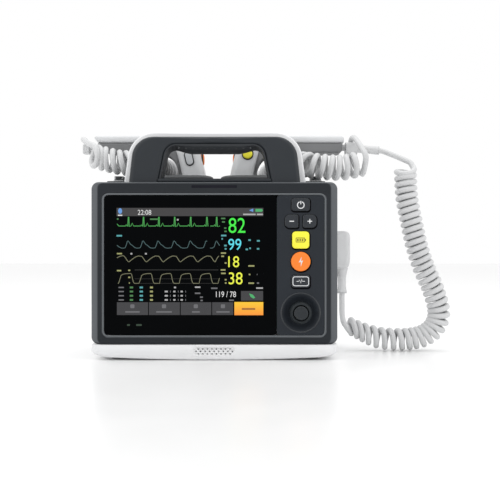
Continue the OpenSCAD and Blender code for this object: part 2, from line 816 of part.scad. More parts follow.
base_housing();
rear_housing();
front_bezel();
display_glass();
lcd_module();
keypad_panel();
alarm_lamp_lens();
handle_front();
handle_rear();
grip_insert();
rubber_feet();
housing_screws();
main_board();
control_board();
power_board();
hv_capacitor();
speaker();
encoder_body();
paddle_tray();
tray_contacts();
side_ports();
therapy_socket();
recorder_frame();
ac_inlet();
ground_stud();
power_key();
minus_key();
plus_key();
charge_key();
shock_key();
mode_key();
encoder_plunger();
control_knob();
paddle_left_shell();
paddle_left_grip();
paddle_left_base();
paddle_left_electrode();
paddle_left_select_key();
paddle_left_shock_key();
paddle_right_shell();
paddle_right_grip();
paddle_right_base();
paddle_right_electrode();
paddle_right_charge_key();
paddle_right_shock_key();
battery_pack();
battery_latch();
recorder_door();
paper_roll();
port_cover();
plug();
right_gland();
left_gland();
main_lead_low();
main_coil();
main_lead_high();
link_coil_right();
link_lead_right();
link_coil_left();
link_lead_left();
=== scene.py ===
"""Portable defibrillator monitor with hand paddles and curly cords.

Shapes are worked out in millimetres and made in metres. +X is right as seen from the front,
+Y runs to the rear and +Z up.
"""
import json
import math
from types import SimpleNamespace

import bmesh
import bpy
from mathutils import Matrix, Vector
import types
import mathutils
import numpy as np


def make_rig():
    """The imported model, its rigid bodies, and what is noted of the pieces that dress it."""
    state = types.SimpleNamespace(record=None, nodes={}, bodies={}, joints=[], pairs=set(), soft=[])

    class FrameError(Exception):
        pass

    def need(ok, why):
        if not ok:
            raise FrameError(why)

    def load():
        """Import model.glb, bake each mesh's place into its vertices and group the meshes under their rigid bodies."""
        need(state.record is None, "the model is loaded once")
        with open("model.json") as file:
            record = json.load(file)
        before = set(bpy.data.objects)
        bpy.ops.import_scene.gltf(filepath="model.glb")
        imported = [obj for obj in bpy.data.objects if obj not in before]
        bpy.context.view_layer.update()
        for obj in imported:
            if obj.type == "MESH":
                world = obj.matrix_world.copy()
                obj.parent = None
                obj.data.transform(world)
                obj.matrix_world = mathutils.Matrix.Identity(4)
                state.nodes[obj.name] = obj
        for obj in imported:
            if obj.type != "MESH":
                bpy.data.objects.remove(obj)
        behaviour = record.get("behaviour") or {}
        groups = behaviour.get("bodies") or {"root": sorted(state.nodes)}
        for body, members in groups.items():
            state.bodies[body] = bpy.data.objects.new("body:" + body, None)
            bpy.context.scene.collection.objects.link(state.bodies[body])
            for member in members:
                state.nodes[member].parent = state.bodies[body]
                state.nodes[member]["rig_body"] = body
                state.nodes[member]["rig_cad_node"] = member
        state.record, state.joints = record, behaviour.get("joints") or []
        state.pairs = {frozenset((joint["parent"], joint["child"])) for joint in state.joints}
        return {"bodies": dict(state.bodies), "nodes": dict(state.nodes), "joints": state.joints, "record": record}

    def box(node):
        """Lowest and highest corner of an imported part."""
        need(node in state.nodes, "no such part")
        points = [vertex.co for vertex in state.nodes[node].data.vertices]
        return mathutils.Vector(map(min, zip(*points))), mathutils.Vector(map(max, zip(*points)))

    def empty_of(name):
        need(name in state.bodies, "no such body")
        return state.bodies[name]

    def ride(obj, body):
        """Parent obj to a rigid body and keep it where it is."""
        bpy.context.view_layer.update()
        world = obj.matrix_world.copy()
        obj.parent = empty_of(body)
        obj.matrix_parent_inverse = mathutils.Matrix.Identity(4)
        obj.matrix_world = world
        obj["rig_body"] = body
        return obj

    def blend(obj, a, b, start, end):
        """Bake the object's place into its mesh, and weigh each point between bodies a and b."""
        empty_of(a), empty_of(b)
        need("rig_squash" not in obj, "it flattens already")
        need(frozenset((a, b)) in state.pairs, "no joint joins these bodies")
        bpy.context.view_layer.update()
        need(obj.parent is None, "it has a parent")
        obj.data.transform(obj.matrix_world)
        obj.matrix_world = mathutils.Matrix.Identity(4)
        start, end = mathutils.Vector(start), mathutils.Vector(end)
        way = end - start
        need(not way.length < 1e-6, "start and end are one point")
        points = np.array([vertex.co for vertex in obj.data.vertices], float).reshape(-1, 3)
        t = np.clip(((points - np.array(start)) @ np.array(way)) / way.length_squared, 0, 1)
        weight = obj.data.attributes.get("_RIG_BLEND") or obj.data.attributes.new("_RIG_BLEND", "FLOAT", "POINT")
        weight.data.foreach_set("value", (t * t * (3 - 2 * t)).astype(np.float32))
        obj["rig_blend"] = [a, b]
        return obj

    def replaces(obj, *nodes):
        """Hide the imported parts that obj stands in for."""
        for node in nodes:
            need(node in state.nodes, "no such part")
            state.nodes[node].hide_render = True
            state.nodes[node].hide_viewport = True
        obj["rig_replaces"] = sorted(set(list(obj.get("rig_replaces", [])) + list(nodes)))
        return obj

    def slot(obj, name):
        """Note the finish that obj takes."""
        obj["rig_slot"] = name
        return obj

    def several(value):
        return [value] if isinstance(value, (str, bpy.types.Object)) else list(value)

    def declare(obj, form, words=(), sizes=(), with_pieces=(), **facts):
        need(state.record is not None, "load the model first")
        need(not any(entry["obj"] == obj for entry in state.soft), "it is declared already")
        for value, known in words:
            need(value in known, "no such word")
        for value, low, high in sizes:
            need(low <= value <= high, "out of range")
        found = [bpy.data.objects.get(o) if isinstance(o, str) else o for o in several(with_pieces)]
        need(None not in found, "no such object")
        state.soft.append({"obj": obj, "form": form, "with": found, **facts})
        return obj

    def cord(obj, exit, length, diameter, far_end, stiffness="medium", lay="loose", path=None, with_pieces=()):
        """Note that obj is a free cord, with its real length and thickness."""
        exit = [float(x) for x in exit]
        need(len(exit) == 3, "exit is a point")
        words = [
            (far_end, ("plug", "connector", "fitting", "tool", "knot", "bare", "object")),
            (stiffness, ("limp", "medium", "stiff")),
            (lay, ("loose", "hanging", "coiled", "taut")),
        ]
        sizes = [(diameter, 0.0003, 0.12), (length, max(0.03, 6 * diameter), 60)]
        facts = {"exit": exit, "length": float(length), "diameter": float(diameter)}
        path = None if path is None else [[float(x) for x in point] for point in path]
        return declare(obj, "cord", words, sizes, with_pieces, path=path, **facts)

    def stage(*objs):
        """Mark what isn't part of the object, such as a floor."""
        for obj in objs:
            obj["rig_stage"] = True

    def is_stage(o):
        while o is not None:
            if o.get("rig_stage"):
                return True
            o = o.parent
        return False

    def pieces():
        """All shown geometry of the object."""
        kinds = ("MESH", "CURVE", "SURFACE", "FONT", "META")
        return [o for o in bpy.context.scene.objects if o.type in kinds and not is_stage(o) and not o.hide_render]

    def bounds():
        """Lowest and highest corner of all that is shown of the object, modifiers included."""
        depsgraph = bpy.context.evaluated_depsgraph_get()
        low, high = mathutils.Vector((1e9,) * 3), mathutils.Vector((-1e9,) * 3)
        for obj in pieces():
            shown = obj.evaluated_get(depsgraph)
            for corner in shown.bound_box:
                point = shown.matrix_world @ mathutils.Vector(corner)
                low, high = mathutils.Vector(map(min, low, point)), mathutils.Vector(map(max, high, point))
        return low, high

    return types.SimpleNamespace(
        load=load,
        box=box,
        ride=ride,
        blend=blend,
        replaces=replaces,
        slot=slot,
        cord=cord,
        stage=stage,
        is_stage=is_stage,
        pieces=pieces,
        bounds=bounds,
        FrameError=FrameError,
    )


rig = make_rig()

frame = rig.load()
cad_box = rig.bounds()
NODES = frame["nodes"]
MM = 0.001


def box_mm(node):
    """A CAD node's box at rest, in millimetres."""
    low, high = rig.box(node)
    x0, y0, z0 = (v / MM for v in low)
    x1, y1, z1 = (v / MM for v in high)
    return SimpleNamespace(
        x0=x0, y0=y0, z0=z0, x1=x1, y1=y1, z1=z1,
        cx=(x0 + x1) / 2, cy=(y0 + y1) / 2, cz=(z0 + z1) / 2,
    )


BEZEL = box_mm("front_bezel")
PAN = box_mm("base_housing")
GLASS = box_mm("display_glass")
PANEL = box_mm("keypad_panel")
KNOB = box_mm("control_knob")
FRONT_ARCH = box_mm("handle_front")
REAR_ARCH = box_mm("handle_rear")
INSERT = box_mm("grip_insert")
PLUG = box_mm("plug")
SHELL = box_mm("paddle_right_shell")
GRIP = box_mm("paddle_right_grip")
PLATE = box_mm("paddle_right_base")

# ---------- camera ----------


def make_camera():
    data = bpy.data.cameras.new("front_camera")
    data.lens = 55.64
    data.sensor_width = 36
    camera = bpy.data.objects.new("front_camera", data)
    camera.location = (0.0394, -0.928, 0.1217)
    camera.rotation_euler = (math.radians(90), 0, 0)
    bpy.context.scene.collection.objects.link(camera)
    bpy.context.scene.camera = camera


make_camera()

# ---------- materials ----------


def add_node(tree, kind, **values):
    node = tree.nodes.new(kind)
    for name, value in values.items():
        node.inputs[name.replace("_", " ")].default_value = value
    return node


def noise(tree, scale, detail):
    """A noise that sticks to the object, with a scale in waves per metre."""
    coords = tree.nodes.new("ShaderNodeTexCoord")
    texture = add_node(tree, "ShaderNodeTexNoise", Scale=scale, Detail=detail)
    tree.links.new(coords.outputs["Object"], texture.inputs["Vector"])
    return texture.outputs["Fac"]


def tones(tree, factor, dark, light, low=0.3, high=0.7):
    ramp = tree.nodes.new("ShaderNodeValToRGB")
    ramp.color_ramp.elements[0].position = low
    ramp.color_ramp.elements[1].position = high
    ramp.color_ramp.elements[0].color = (*dark, 1)
    ramp.color_ramp.elements[1].color = (*light, 1)
    tree.links.new(factor, ramp.inputs["Fac"])
    return ramp.outputs["Color"]


def spread(tree, factor, low, high):
    ranged = add_node(tree, "ShaderNodeMapRange")
    ranged.inputs["To Min"].default_value = low
    ranged.inputs["To Max"].default_value = high
    tree.links.new(factor, ranged.inputs["Value"])
    return ranged.outputs["Result"]


def new_material(name):
    """A material with its node tree and its shader."""
    material = bpy.data.materials.new(name)
    material.use_nodes = True
    return material, material.node_tree, material.node_tree.nodes["Principled BSDF"]


def plastic(name, color, rough=0.42, grain=2600, bump=0.12, vary=0.05, metallic=0.0, coat=0.0, specular=0.5):
    """Moulded plastic: slight changes of tone and gloss, and a fine grain in its surface."""
    material, tree, shader = new_material(name)
    shader.inputs["Metallic"].default_value = metallic
    shader.inputs["Coat Weight"].default_value = coat
    shader.inputs["Coat Roughness"].default_value = 0.12
    shader.inputs["Specular IOR Level"].default_value = specular
    broad = noise(tree, 22, 4)
    fine = noise(tree, grain, 2)
    dark = [c * (1 - vary) for c in color]
    light = [min(1, c * (1 + vary)) for c in color]
    tree.links.new(tones(tree, broad, dark, light), shader.inputs["Base Color"])
    tree.links.new(spread(tree, broad, rough - 0.05, rough + 0.05), shader.inputs["Roughness"])
    if bump:
        relief = add_node(tree, "ShaderNodeBump", Strength=bump, Distance=0.0002)
        tree.links.new(fine, relief.inputs["Height"])
        tree.links.new(relief.outputs["Normal"], shader.inputs["Normal"])
    return material


def lit_edges(name, color, edge, start=0.25, end=0.62, **finish):
    """Dark plastic whose faces that turn to the sides or up are painted paler: a painted highlight where side and top
    light would catch them.
    """
    material = plastic(name, color, **finish)
    tree = material.node_tree
    shader = tree.nodes["Principled BSDF"]
    inner = shader.inputs["Base Color"].links[0].from_socket
    coords = tree.nodes.new("ShaderNodeTexCoord")
    split = tree.nodes.new("ShaderNodeSeparateXYZ")
    tree.links.new(coords.outputs["Normal"], split.inputs["Vector"])
    side = tree.nodes.new("ShaderNodeMath")
    side.operation = "ABSOLUTE"
    tree.links.new(split.outputs["X"], side.inputs[0])
    most = tree.nodes.new("ShaderNodeMath")
    most.operation = "MAXIMUM"
    tree.links.new(side.outputs["Value"], most.inputs[0])
    tree.links.new(split.outputs["Z"], most.inputs[1])
    ranged = tree.nodes.new("ShaderNodeMapRange")
    ranged.interpolation_type = "SMOOTHSTEP"
    ranged.inputs["From Min"].default_value = start
    ranged.inputs["From Max"].default_value = end
    tree.links.new(most.outputs["Value"], ranged.inputs["Value"])
    # Painted highlight: mix to the paler colour where the normal turns to the sides or up.
    mix = tree.nodes.new("ShaderNodeMix")
    mix.data_type = "RGBA"
    mix.inputs[7].default_value = (*edge, 1)
    tree.links.new(ranged.outputs["Result"], mix.inputs[0])
    tree.links.new(inner, mix.inputs[6])
    tree.links.new(mix.outputs[2], shader.inputs["Base Color"])
    return material


def glow(name, color):
    """A lit mark on the display, with a slight unevenness."""
    material, tree, shader = new_material(name)
    shader.inputs["Base Color"].default_value = (0.004, 0.004, 0.004, 1)
    shader.inputs["Roughness"].default_value = 0.2
    shader.inputs["Emission Strength"].default_value = 1.0
    low = [c * 0.9 for c in color]
    tree.links.new(tones(tree, noise(tree, 900, 1), low, color), shader.inputs["Emission Color"])
    return material


def sunset_glow(name, top, bottom, z_top, z_bottom, strength):
    """A lit key whose colour runs from its top edge to its bottom edge."""
    material, tree, shader = new_material(name)
    shader.inputs["Base Color"].default_value = (0.004, 0.004, 0.004, 1)
    shader.inputs["Emission Strength"].default_value = strength
    coords = tree.nodes.new("ShaderNodeTexCoord")
    split = tree.nodes.new("ShaderNodeSeparateXYZ")
    tree.links.new(coords.outputs["Object"], split.inputs["Vector"])
    ranged = tree.nodes.new("ShaderNodeMapRange")
    ranged.inputs["From Min"].default_value = z_bottom * MM
    ranged.inputs["From Max"].default_value = z_top * MM
    tree.links.new(split.outputs["Z"], ranged.inputs["Value"])
    tree.links.new(tones(tree, ranged.outputs["Result"], bottom, top, 0, 1), shader.inputs["Emission Color"])
    return material


def metal(name, color, rough=0.3):
    """Brushed metal, with a grain that runs along X."""
    material = plastic(name, color, rough, 400, 0, 0.08, metallic=1.0)
    tree = material.node_tree
    coords = tree.nodes.new("ShaderNodeTexCoord")
    stretch = tree.nodes.new("ShaderNodeMapping")
    stretch.inputs["Scale"].default_value = (60, 2500, 2500)
    texture = add_node(tree, "ShaderNodeTexNoise", Scale=1.0, Detail=3.0)
    relief = add_node(tree, "ShaderNodeBump", Strength=0.15, Distance=0.0001)
    tree.links.new(coords.outputs["Object"], stretch.inputs["Vector"])
    tree.links.new(stretch.outputs["Vector"], texture.inputs["Vector"])
    tree.links.new(texture.outputs["Fac"], relief.inputs["Height"])
    tree.links.new(relief.outputs["Normal"], tree.nodes["Principled BSDF"].inputs["Normal"])
    return material


def circuit_board(name, color):
    """Green board with a faint pattern of copper areas."""
    material = plastic(name, color, 0.4, 1500, 0.1, 0.1)
    tree = material.node_tree
    shader = tree.nodes["Principled BSDF"]
    coords = tree.nodes.new("ShaderNodeTexCoord")
    cells = add_node(tree, "ShaderNodeTexVoronoi", Scale=190)
    tree.links.new(coords.outputs["Object"], cells.inputs["Vector"])
    lighter = [min(1, c * 1.7 + 0.01) for c in color]
    pattern = tones(tree, cells.outputs["Distance"], lighter, color, 0.15, 0.3)
    tree.links.new(pattern, shader.inputs["Base Color"])
    return material


MATERIALS = {
    "white_shell": plastic("white_shell", (0.78, 0.785, 0.795), 0.38, 2400, 0.08, 0.015),
    # Painted highlight: the sloped sides and the rounded top edges are painted paler grey.
    "dark_shell": lit_edges("dark_shell", (0.012, 0.015, 0.019), (0.095, 0.103, 0.112), rough=0.44,
                            grain=2400, bump=0.14, vary=0.08, specular=0.25),
    "handle_dark": plastic("handle_dark", (0.020, 0.024, 0.029), 0.44, 2400, 0.14, 0.08, specular=0.3),
    "keypad": plastic("keypad", (0.016, 0.020, 0.026), 0.50, 2600, 0.16, 0.07, specular=0.22),
    "tray_grey": plastic("tray_grey", (0.070, 0.074, 0.078), 0.48, 2200, 0.16, 0.07, specular=0.3),
    "display_glass": plastic("display_glass", (0.0015, 0.0018, 0.0022), 0.12, 2000, 0, 0.1, specular=0.02),
    "screen": plastic("screen", (0.002, 0.002, 0.002), 0.25, 2000, 0.02, 0.1, specular=0.02),
    "lamp_lens": plastic("lamp_lens", (0.008, 0.008, 0.013), 0.15, 2000, 0, 0.15, specular=0.12),
    "soft_grip": plastic("soft_grip", (0.185, 0.188, 0.193), 0.62, 1500, 0.3, 0.1, specular=0.35),
    "black_rubber": plastic("black_rubber", (0.016, 0.016, 0.017), 0.68, 1400, 0.35, 0.12, specular=0.3),
    # Painted highlight: key cap edges that face up or to the sides are painted paler.
    "key_dark": lit_edges("key_dark", (0.026, 0.030, 0.036), (0.13, 0.135, 0.14), 0.5, 1.0, rough=0.46,
                          grain=2600, bump=0.14, vary=0.06, specular=0.25),
    "key_yellow": plastic("key_yellow", (0.93, 0.86, 0.045), 0.40, 2400, 0.1, 0.03),
    "key_orange": plastic("key_orange", (0.95, 0.215, 0.012), 0.38, 2400, 0.1, 0.04),
    "knob_dark": plastic("knob_dark", (0.012, 0.016, 0.019), 0.50, 2200, 0.2, 0.08, specular=0.25),
    "paddle_grey": plastic("paddle_grey", (0.66, 0.67, 0.68), 0.42, 2200, 0.12, 0.03),
    "cord_grey": plastic("cord_grey", (0.60, 0.605, 0.61), 0.42, 1800, 0.1, 0.025),
    "steel": metal("steel", (0.62, 0.62, 0.62)),
    "board": circuit_board("board", (0.015, 0.12, 0.05)),
    "capacitor": plastic("capacitor", (0.05, 0.12, 0.26), 0.35, 1800, 0.08, 0.06, coat=0.4),
    "port_light": plastic("port_light", (0.58, 0.60, 0.62), 0.42, 2200, 0.1, 0.03),
    "paper": plastic("paper", (0.86, 0.85, 0.82), 0.85, 1200, 0.3, 0.03, specular=0.2),
    "lining": plastic("lining", (0.026, 0.029, 0.033), 0.6, 1500, 0.3, 0.1, specular=0.3),
    # Near-black for the real gaps round the keys and for the painted shadow below them.
    "gap": plastic("gap", (0.002, 0.002, 0.003), 0.7, 1500, 0.1, 0.1, specular=0.05),
    # Painted highlight: the knob cap's up-facing and side-facing surfaces are painted paler.
    "knob_top": lit_edges("knob_top", (0.022, 0.026, 0.030), (0.08, 0.085, 0.09), 0.4, 1.0, rough=0.46,
                          grain=2200, bump=0.18, vary=0.08, specular=0.25),
    # Painted highlight: the bowl's raised edge is painted paler where it faces up or to the sides.
    "rim_dark": lit_edges("rim_dark", (0.028, 0.032, 0.037), (0.12, 0.125, 0.13), 0.3, 0.9, rough=0.4,
                          grain=2400, bump=0.06, vary=0.05, specular=0.3),
    "rim": plastic("rim", (0.10, 0.11, 0.12), 0.34, 2400, 0.06, 0.05),
    "ink_white": plastic("ink_white", (0.72, 0.73, 0.74), 0.5, 2600, 0.05, 0.02),
    "ink_dark": plastic("ink_dark", (0.20, 0.17, 0.01), 0.5, 2600, 0.05, 0.02),
    "floor": plastic("floor", (0.92, 0.92, 0.92), 0.3, 60, 0, 0.003),
}

# ---------- shape helpers ----------


class Shape:
    """Points in millimetres and faces, from which a piece is made."""

    def __init__(self):
        self.points = []
        self.faces = []

    def add(self, points, faces):
        start = len(self.points)
        self.points.extend(points)
        self.faces.extend([start + i for i in face] for face in faces)
        return self

    def loft(self, rings, caps=(True, True)):
        """Skin over closed rings of equal point count."""
        count = len(rings[0])
        faces = []
        for i in range(len(rings) - 1):
            here, there = i * count, (i + 1) * count
            for j in range(count):
                after = (j + 1) % count
                faces.append([here + j, here + after, there + after, there + j])
        if caps[0]:
            faces.append(list(range(count))[::-1])
        if caps[1]:
            faces.append([(len(rings) - 1) * count + j for j in range(count)])
        return self.add([p for ring in rings for p in ring], faces)

    def prism_y(self, outline, y0, y1):
        return self.loft([at_y(outline, y) for y in (y0, y1)])

    def lathe(self, profile, place, sides=64, ribs=None, closed=False):
        """A profile of (radius, height) turned about an axis. place turns (radius, angle, height) into a
        point, and a closed profile makes a ring."""
        rings = []
        for radius, height in profile:
            ring = []
            for j in range(sides):
                angle = 2 * math.pi * j / sides
                grown = radius + (ribs(radius, height, angle) if ribs else 0)
                ring.append(place(grown, angle, height))
            rings.append(ring)
        if closed:
            return self.loft(rings + rings[:1], (False, False))
        return self.loft(rings)

    def tube(self, path, radius, sides=10):
        angles = [2 * math.pi * j / sides for j in range(sides)]
        rings = []
        for p, u, v in carried_frames(path):
            rings.append([tuple(p + radius * (math.cos(a) * u + math.sin(a) * v)) for a in angles])
        return self.loft(rings)


def carried_frames(path, first=None):
    """Each point of a path with two directions square to it that turn as little as they can."""
    frames = []
    up = first
    for i, p in enumerate(path):
        ahead = (path[min(i + 1, len(path) - 1)] - path[max(i - 1, 0)]).normalized()
        if up is None:
            up = ahead.orthogonal()
        up = (up - up.dot(ahead) * ahead).normalized()
        frames.append((p, up, ahead.cross(up)))
    return frames


def arc(cx, cz, r, start, end, count):
    """Points on an arc, with angles in degrees."""
    angles = [math.radians(start + (end - start) * i / count) for i in range(count + 1)]
    return [(cx + r * math.cos(a), cz + r * math.sin(a)) for a in angles]


def rounded(x0, x1, z0, z1, r, steps=6):
    """Outline of a rectangle with round corners. r is one radius or four, from the lower left on."""
    radii = r if isinstance(r, (tuple, list)) else (r,) * 4
    corners = [(x0, z0, 1, 1, 180), (x1, z0, -1, 1, 270), (x1, z1, -1, -1, 0), (x0, z1, 1, -1, 90)]
    outline = []
    for (x, z, sx, sz, start), radius in zip(corners, radii):
        outline += arc(x + sx * radius, z + sz * radius, radius, start, start + 90, steps)
    return outline


def disc(x, z, r, count=48):
    return arc(x, z, r, 0, 360 * (count - 1) / count, count - 1)


def at_x(outline, x):
    """An outline of (y, z) stood at x."""
    return [(x, y, z) for y, z in outline]


def at_y(outline, y):
    """An outline of (x, z) stood at y."""
    return [(x, y, z) for x, z in outline]


def at_z(outline, z):
    """An outline of (x, y) laid at z."""
    return [(x, y, z) for x, y in outline]


def around_y(x, z):
    return lambda r, a, h: (x + r * math.cos(a), h, z + r * math.sin(a))


def around_x(y, z, side=1):
    return lambda r, a, h: (side * h, y + r * math.cos(a), z + r * math.sin(a))


def around_z(x, y):
    return lambda r, a, h: (x + r * math.cos(a), y + r * math.sin(a), h)


def mirrored(shape):
    turned = Shape()
    return turned.add([(-x, y, z) for x, y, z in shape.points], [face[::-1] for face in shape.faces])


def make(name, shape, material, body, slot, replaced=(), bevel=0.0, segments=3, sharp=35, solid=True):
    """Makes a piece from a shape and puts it on its body."""
    mesh = bpy.data.meshes.new(name)
    mesh.from_pydata([(x * MM, y * MM, z * MM) for x, y, z in shape.points], [], shape.faces)
    if solid:
        work = bmesh.new()
        work.from_mesh(mesh)
        bmesh.ops.recalc_face_normals(work, faces=work.faces)
        work.to_mesh(mesh)
        work.free()
    piece = bpy.data.objects.new(name, mesh)
    bpy.context.scene.collection.objects.link(piece)
    mesh.materials.append(MATERIALS[material] if isinstance(material, str) else material)
    mesh.shade_smooth()
    if bevel:
        rounding = piece.modifiers.new("rounding", "BEVEL")
        rounding.width = bevel * MM
        rounding.segments = segments
        rounding.limit_method = "ANGLE"
        rounding.angle_limit = math.radians(sharp)
        rounding.use_clamp_overlap = True
        piece.modifiers.new("shading", "WEIGHTED_NORMAL").keep_sharp = True
    else:
        mesh.set_sharp_from_angle(angle=math.radians(sharp))
    if body:
        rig.ride(piece, body)
    if replaced:
        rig.replaces(piece, *replaced)
    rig.slot(piece, slot)
    return piece


def applied(piece):
    """Bakes a piece's modifiers into its mesh."""
    shown = piece.evaluated_get(bpy.context.evaluated_depsgraph_get())
    baked = bpy.data.meshes.new_from_object(shown)
    piece.modifiers.clear()
    piece.data = baked
    return piece


def melted(piece, voxel, smooth):
    """Turns overlapping solids into one skin with soft inner corners."""
    remesh = piece.modifiers.new("skin", "REMESH")
    remesh.mode = "VOXEL"
    remesh.voxel_size = voxel * MM
    remesh.use_smooth_shade = True
    soft = piece.modifiers.new("soft", "SMOOTH")
    soft.factor = 0.5
    soft.iterations = smooth
    applied(piece)
    piece.data.shade_smooth()
    return piece


def on_node(node):
    """Body and slot of a CAD node."""
    return NODES[node]["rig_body"], SLOT_OF[node]


SLOT_OF = {part["node"]: part["material_slot"] for part in frame["record"]["subparts"]}

# ---------- cords ----------

CORD_D = 6.8
COIL_R = 10.4
LINK_R = (12.4, 10.2)
MAIN_TURNS = 38.25
LINK_TURNS = 27
MAIN_PITCH = ((0, 8), (0.60, 8), (0.70, 7.2), (0.78, 7.8), (0.84, 10.6), (0.90, 10.4), (0.94, 8.6), (1, 8.2))
END_TURNS = 6       # turns over which the low end's lean builds up
TIP_TURNS = 1.5     # turns over which the first turns' tilt fades
ROUTE_STEP = 0.8    # spacing of the points on a worked-out line
CORD_STEP = 3.2     # spacing of the points on a cord's path
LEAD_IN = 3         # last coil points left out, so that the lead runs in smoothly
MAIN_LOW = [(150.5, 6, 69.6), (150.5, 6, 58), (150.5, 5, 48), (150.8, 2, 40), (152.5, -2, 33.5)]
MAIN_COIL = [
    (158, 6, 31), (168, 6, 26), (179, 6, 21), (191, 6, 16.9), (202, 6, 14.8), (212, 6, 14.2),
    (222, 6, 14), (233, 6, 14.6), (244, 6, 16.5), (254, 6, 21), (262, 6, 28.5), (266.5, 6, 38),
    (267.5, 6, 47), (266, 6, 57), (260, 6, 76), (254, 6, 90), (248.5, 6, 103), (241, 6, 126),
    (235, 6, 153), (229, 6, 184), (227.5, 6, 207), (227, 6, 220),
]
MAIN_HIGH = [
    (234, 10.8, 227.8), (230, 13.5, 230.4), (224, 16.4, 233.6), (217.5, 19.6, 237),
    (211.5, 22.8, 240), (206.5, 25.4, 242.5), (203, 26.7, 243.8), (199.2, 27, 244.44),
]
LINK_RIGHT = [
    (170, -7, 225), (163, -8, 222.4), (154, -8, 220.3), (145, -8, 219.5), (136, -8, 219.9),
    (127, -8, 220.7), (118, -7.5, 221.8), (110, -5, 223.2), (104, 1, 224.6), (100, 10, 225.5),
    (96, 22, 225.5), (91, 35, 225.5), (85, 47, 225.5), (77, 60, 225.5), (68, 74, 224), (58, 88, 214),
    (46, 96, 199), (34, 99, 182), (22, 100, 167), (12, 100, 158.2), (5, 100, 154.8), (0.3, 100, 154.8),
]
LINK_LEFT = [
    (-149, -13, 234.5), (-142.5, -8.5, 232.5), (-134, -6, 230.3), (-121, -6, 227.2),
    (-109, -5, 225.5), (-98, -1, 225.5), (-88, 8, 225.5), (-81, 20, 225.5), (-77, 34, 225.5),
    (-73, 49, 225.5), (-68, 63, 225.5), (-62, 77, 224), (-54, 89, 214), (-44, 96, 199),
    (-33, 99, 182), (-22, 100, 167), (-12, 100, 158.2), (-5, 100, 154.8), (-0.3, 100, 154.8),
]
LEAD_RIGHT = [
    (164, 27, 254.15), (164, 27, 256.4), (164.8, 22, 259), (166.5, 13, 258.3), (169.5, 3, 251.5),
    (173.4, -7, 242), (176.5, -14, 231),
]
LEAD_LEFT = [
    (-162, 27, 251.65), (-162, 26.7, 253.8), (-163, 22.5, 256), (-163.5, 14, 256.2),
    (-161.5, 6, 254.8), (-157.4, -1, 251.6),
]


def spline(points, step):
    """A smooth line through points, sampled about every step millimetres."""
    pts = [Vector(p) for p in points]
    line = []
    for i in range(len(pts) - 1):
        a = pts[max(i - 1, 0)]
        b, c = pts[i], pts[i + 1]
        d = pts[min(i + 2, len(pts) - 1)]
        count = max(1, round((c - b).length / step))
        for k in range(count):
            t = k / count
            line.append(
                0.5 * (2 * b + (c - a) * t + (2 * a - 5 * b + 4 * c - d) * t * t
                       + (3 * b - a - 3 * c + d) * t * t * t)
            )
    line.append(pts[-1])
    return line


def lengths(line):
    total = [0.0]
    for a, b in zip(line, line[1:]):
        total.append(total[-1] + (b - a).length)
    return total


def ease(t):
    t = max(0.0, min(1.0, t))
    return t * t * (3 - 2 * t)


def shares(count, pitch):
    """Share of the route reached at each of count steps, where pitch is a list of (share of the steps,
    spacing) and lies straight between them."""
    reached = [0.0]
    for i in range(count):
        t = (i + 0.5) / count
        k = max(j for j in range(len(pitch) - 1) if pitch[j][0] <= t)
        (t0, p0), (t1, p1) = pitch[k], pitch[k + 1]
        reached.append(reached[-1] + p0 + (p1 - p0) * (t - t0) / (t1 - t0))
    return [r / reached[-1] for r in reached]


def helix(route, radii, turns, first, hand=1, closing=0.0, lean=0.0, end_lean=0.0, tip=0.0,
          pitch=((0, 1), (1, 1)), per_turn=16):
    """Turns wound round a route, which start on the side first. closing is the number of turns over which
    the end draws in to the route. lean is how far a turn's top stands along X for its height, with end_lean
    added at the end, and tip how far a turn's rear is raised at the start."""
    line = spline(route, ROUTE_STEP)
    at = lengths(line)
    frames = carried_frames(line, Vector(first))
    count = round(turns * per_turn)
    reached = shares(count, pitch)
    path = []
    k = 0
    for i in range(count + 1):
        s = at[-1] * reached[i]
        while k < len(at) - 2 and at[k + 1] < s:
            k += 1
        t = (s - at[k]) / (at[k + 1] - at[k])
        centre = line[k].lerp(line[k + 1], t)
        u, v = frames[k][1], frames[k][2]
        turned = turns * i / count
        reach = radii[0] + (radii[1] - radii[0]) * ease((turned / turns - 0.25) / 0.2)
        if closing:
            reach *= ease((turns - turned) / closing)
        angle = hand * 2 * math.pi * turned
        off = reach * (math.cos(angle) * u + math.sin(angle) * v)
        off.x += (lean + end_lean * ease(1 - (turns - turned) / END_TURNS)) * off.z
        off.z += tip * off.y * ease(1 - turned / TIP_TURNS)
        path.append(centre + off)
    return path


def evened(line, step):
    """The same line with its points about one step apart."""
    at = lengths(line)
    count = round(at[-1] / step)
    out = []
    k = 0
    for i in range(count + 1):
        s = at[-1] * i / count
        while k < len(at) - 2 and at[k + 1] < s:
            k += 1
        out.append(line[k].lerp(line[k + 1], (s - at[k]) / (at[k + 1] - at[k])))
    return out


def make_cord(name, points):
    """Cord through points, with its middle line in metres and its length."""
    path = evened(spline(points, ROUTE_STEP), CORD_STEP)
    cord = make(name, Shape().tube(path, CORD_D / 2), "cord_grey", None, "cord_grey")
    return cord, [[c * MM for c in p] for p in path], lengths(path)[-1] * MM


def main_cord():
    """From the right paddle's strain relief, down the long coil, to the plug."""
    coil = helix(MAIN_COIL[::-1], (COIL_R, COIL_R), MAIN_TURNS, (1, 0, 0),
                 end_lean=-0.7, tip=0.5, pitch=MAIN_PITCH)
    cord, line, length = make_cord("main_cord", MAIN_HIGH[::-1] + coil[:-LEAD_IN] + MAIN_LOW[::-1])
    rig.replaces(cord, "main_lead_low", "main_coil", "main_lead_high")
    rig.blend(cord, "housing", "paddle_right", start=(0.25, 0.006, 0.10), end=(0.228, 0.006, 0.235))
    return cord, line, length


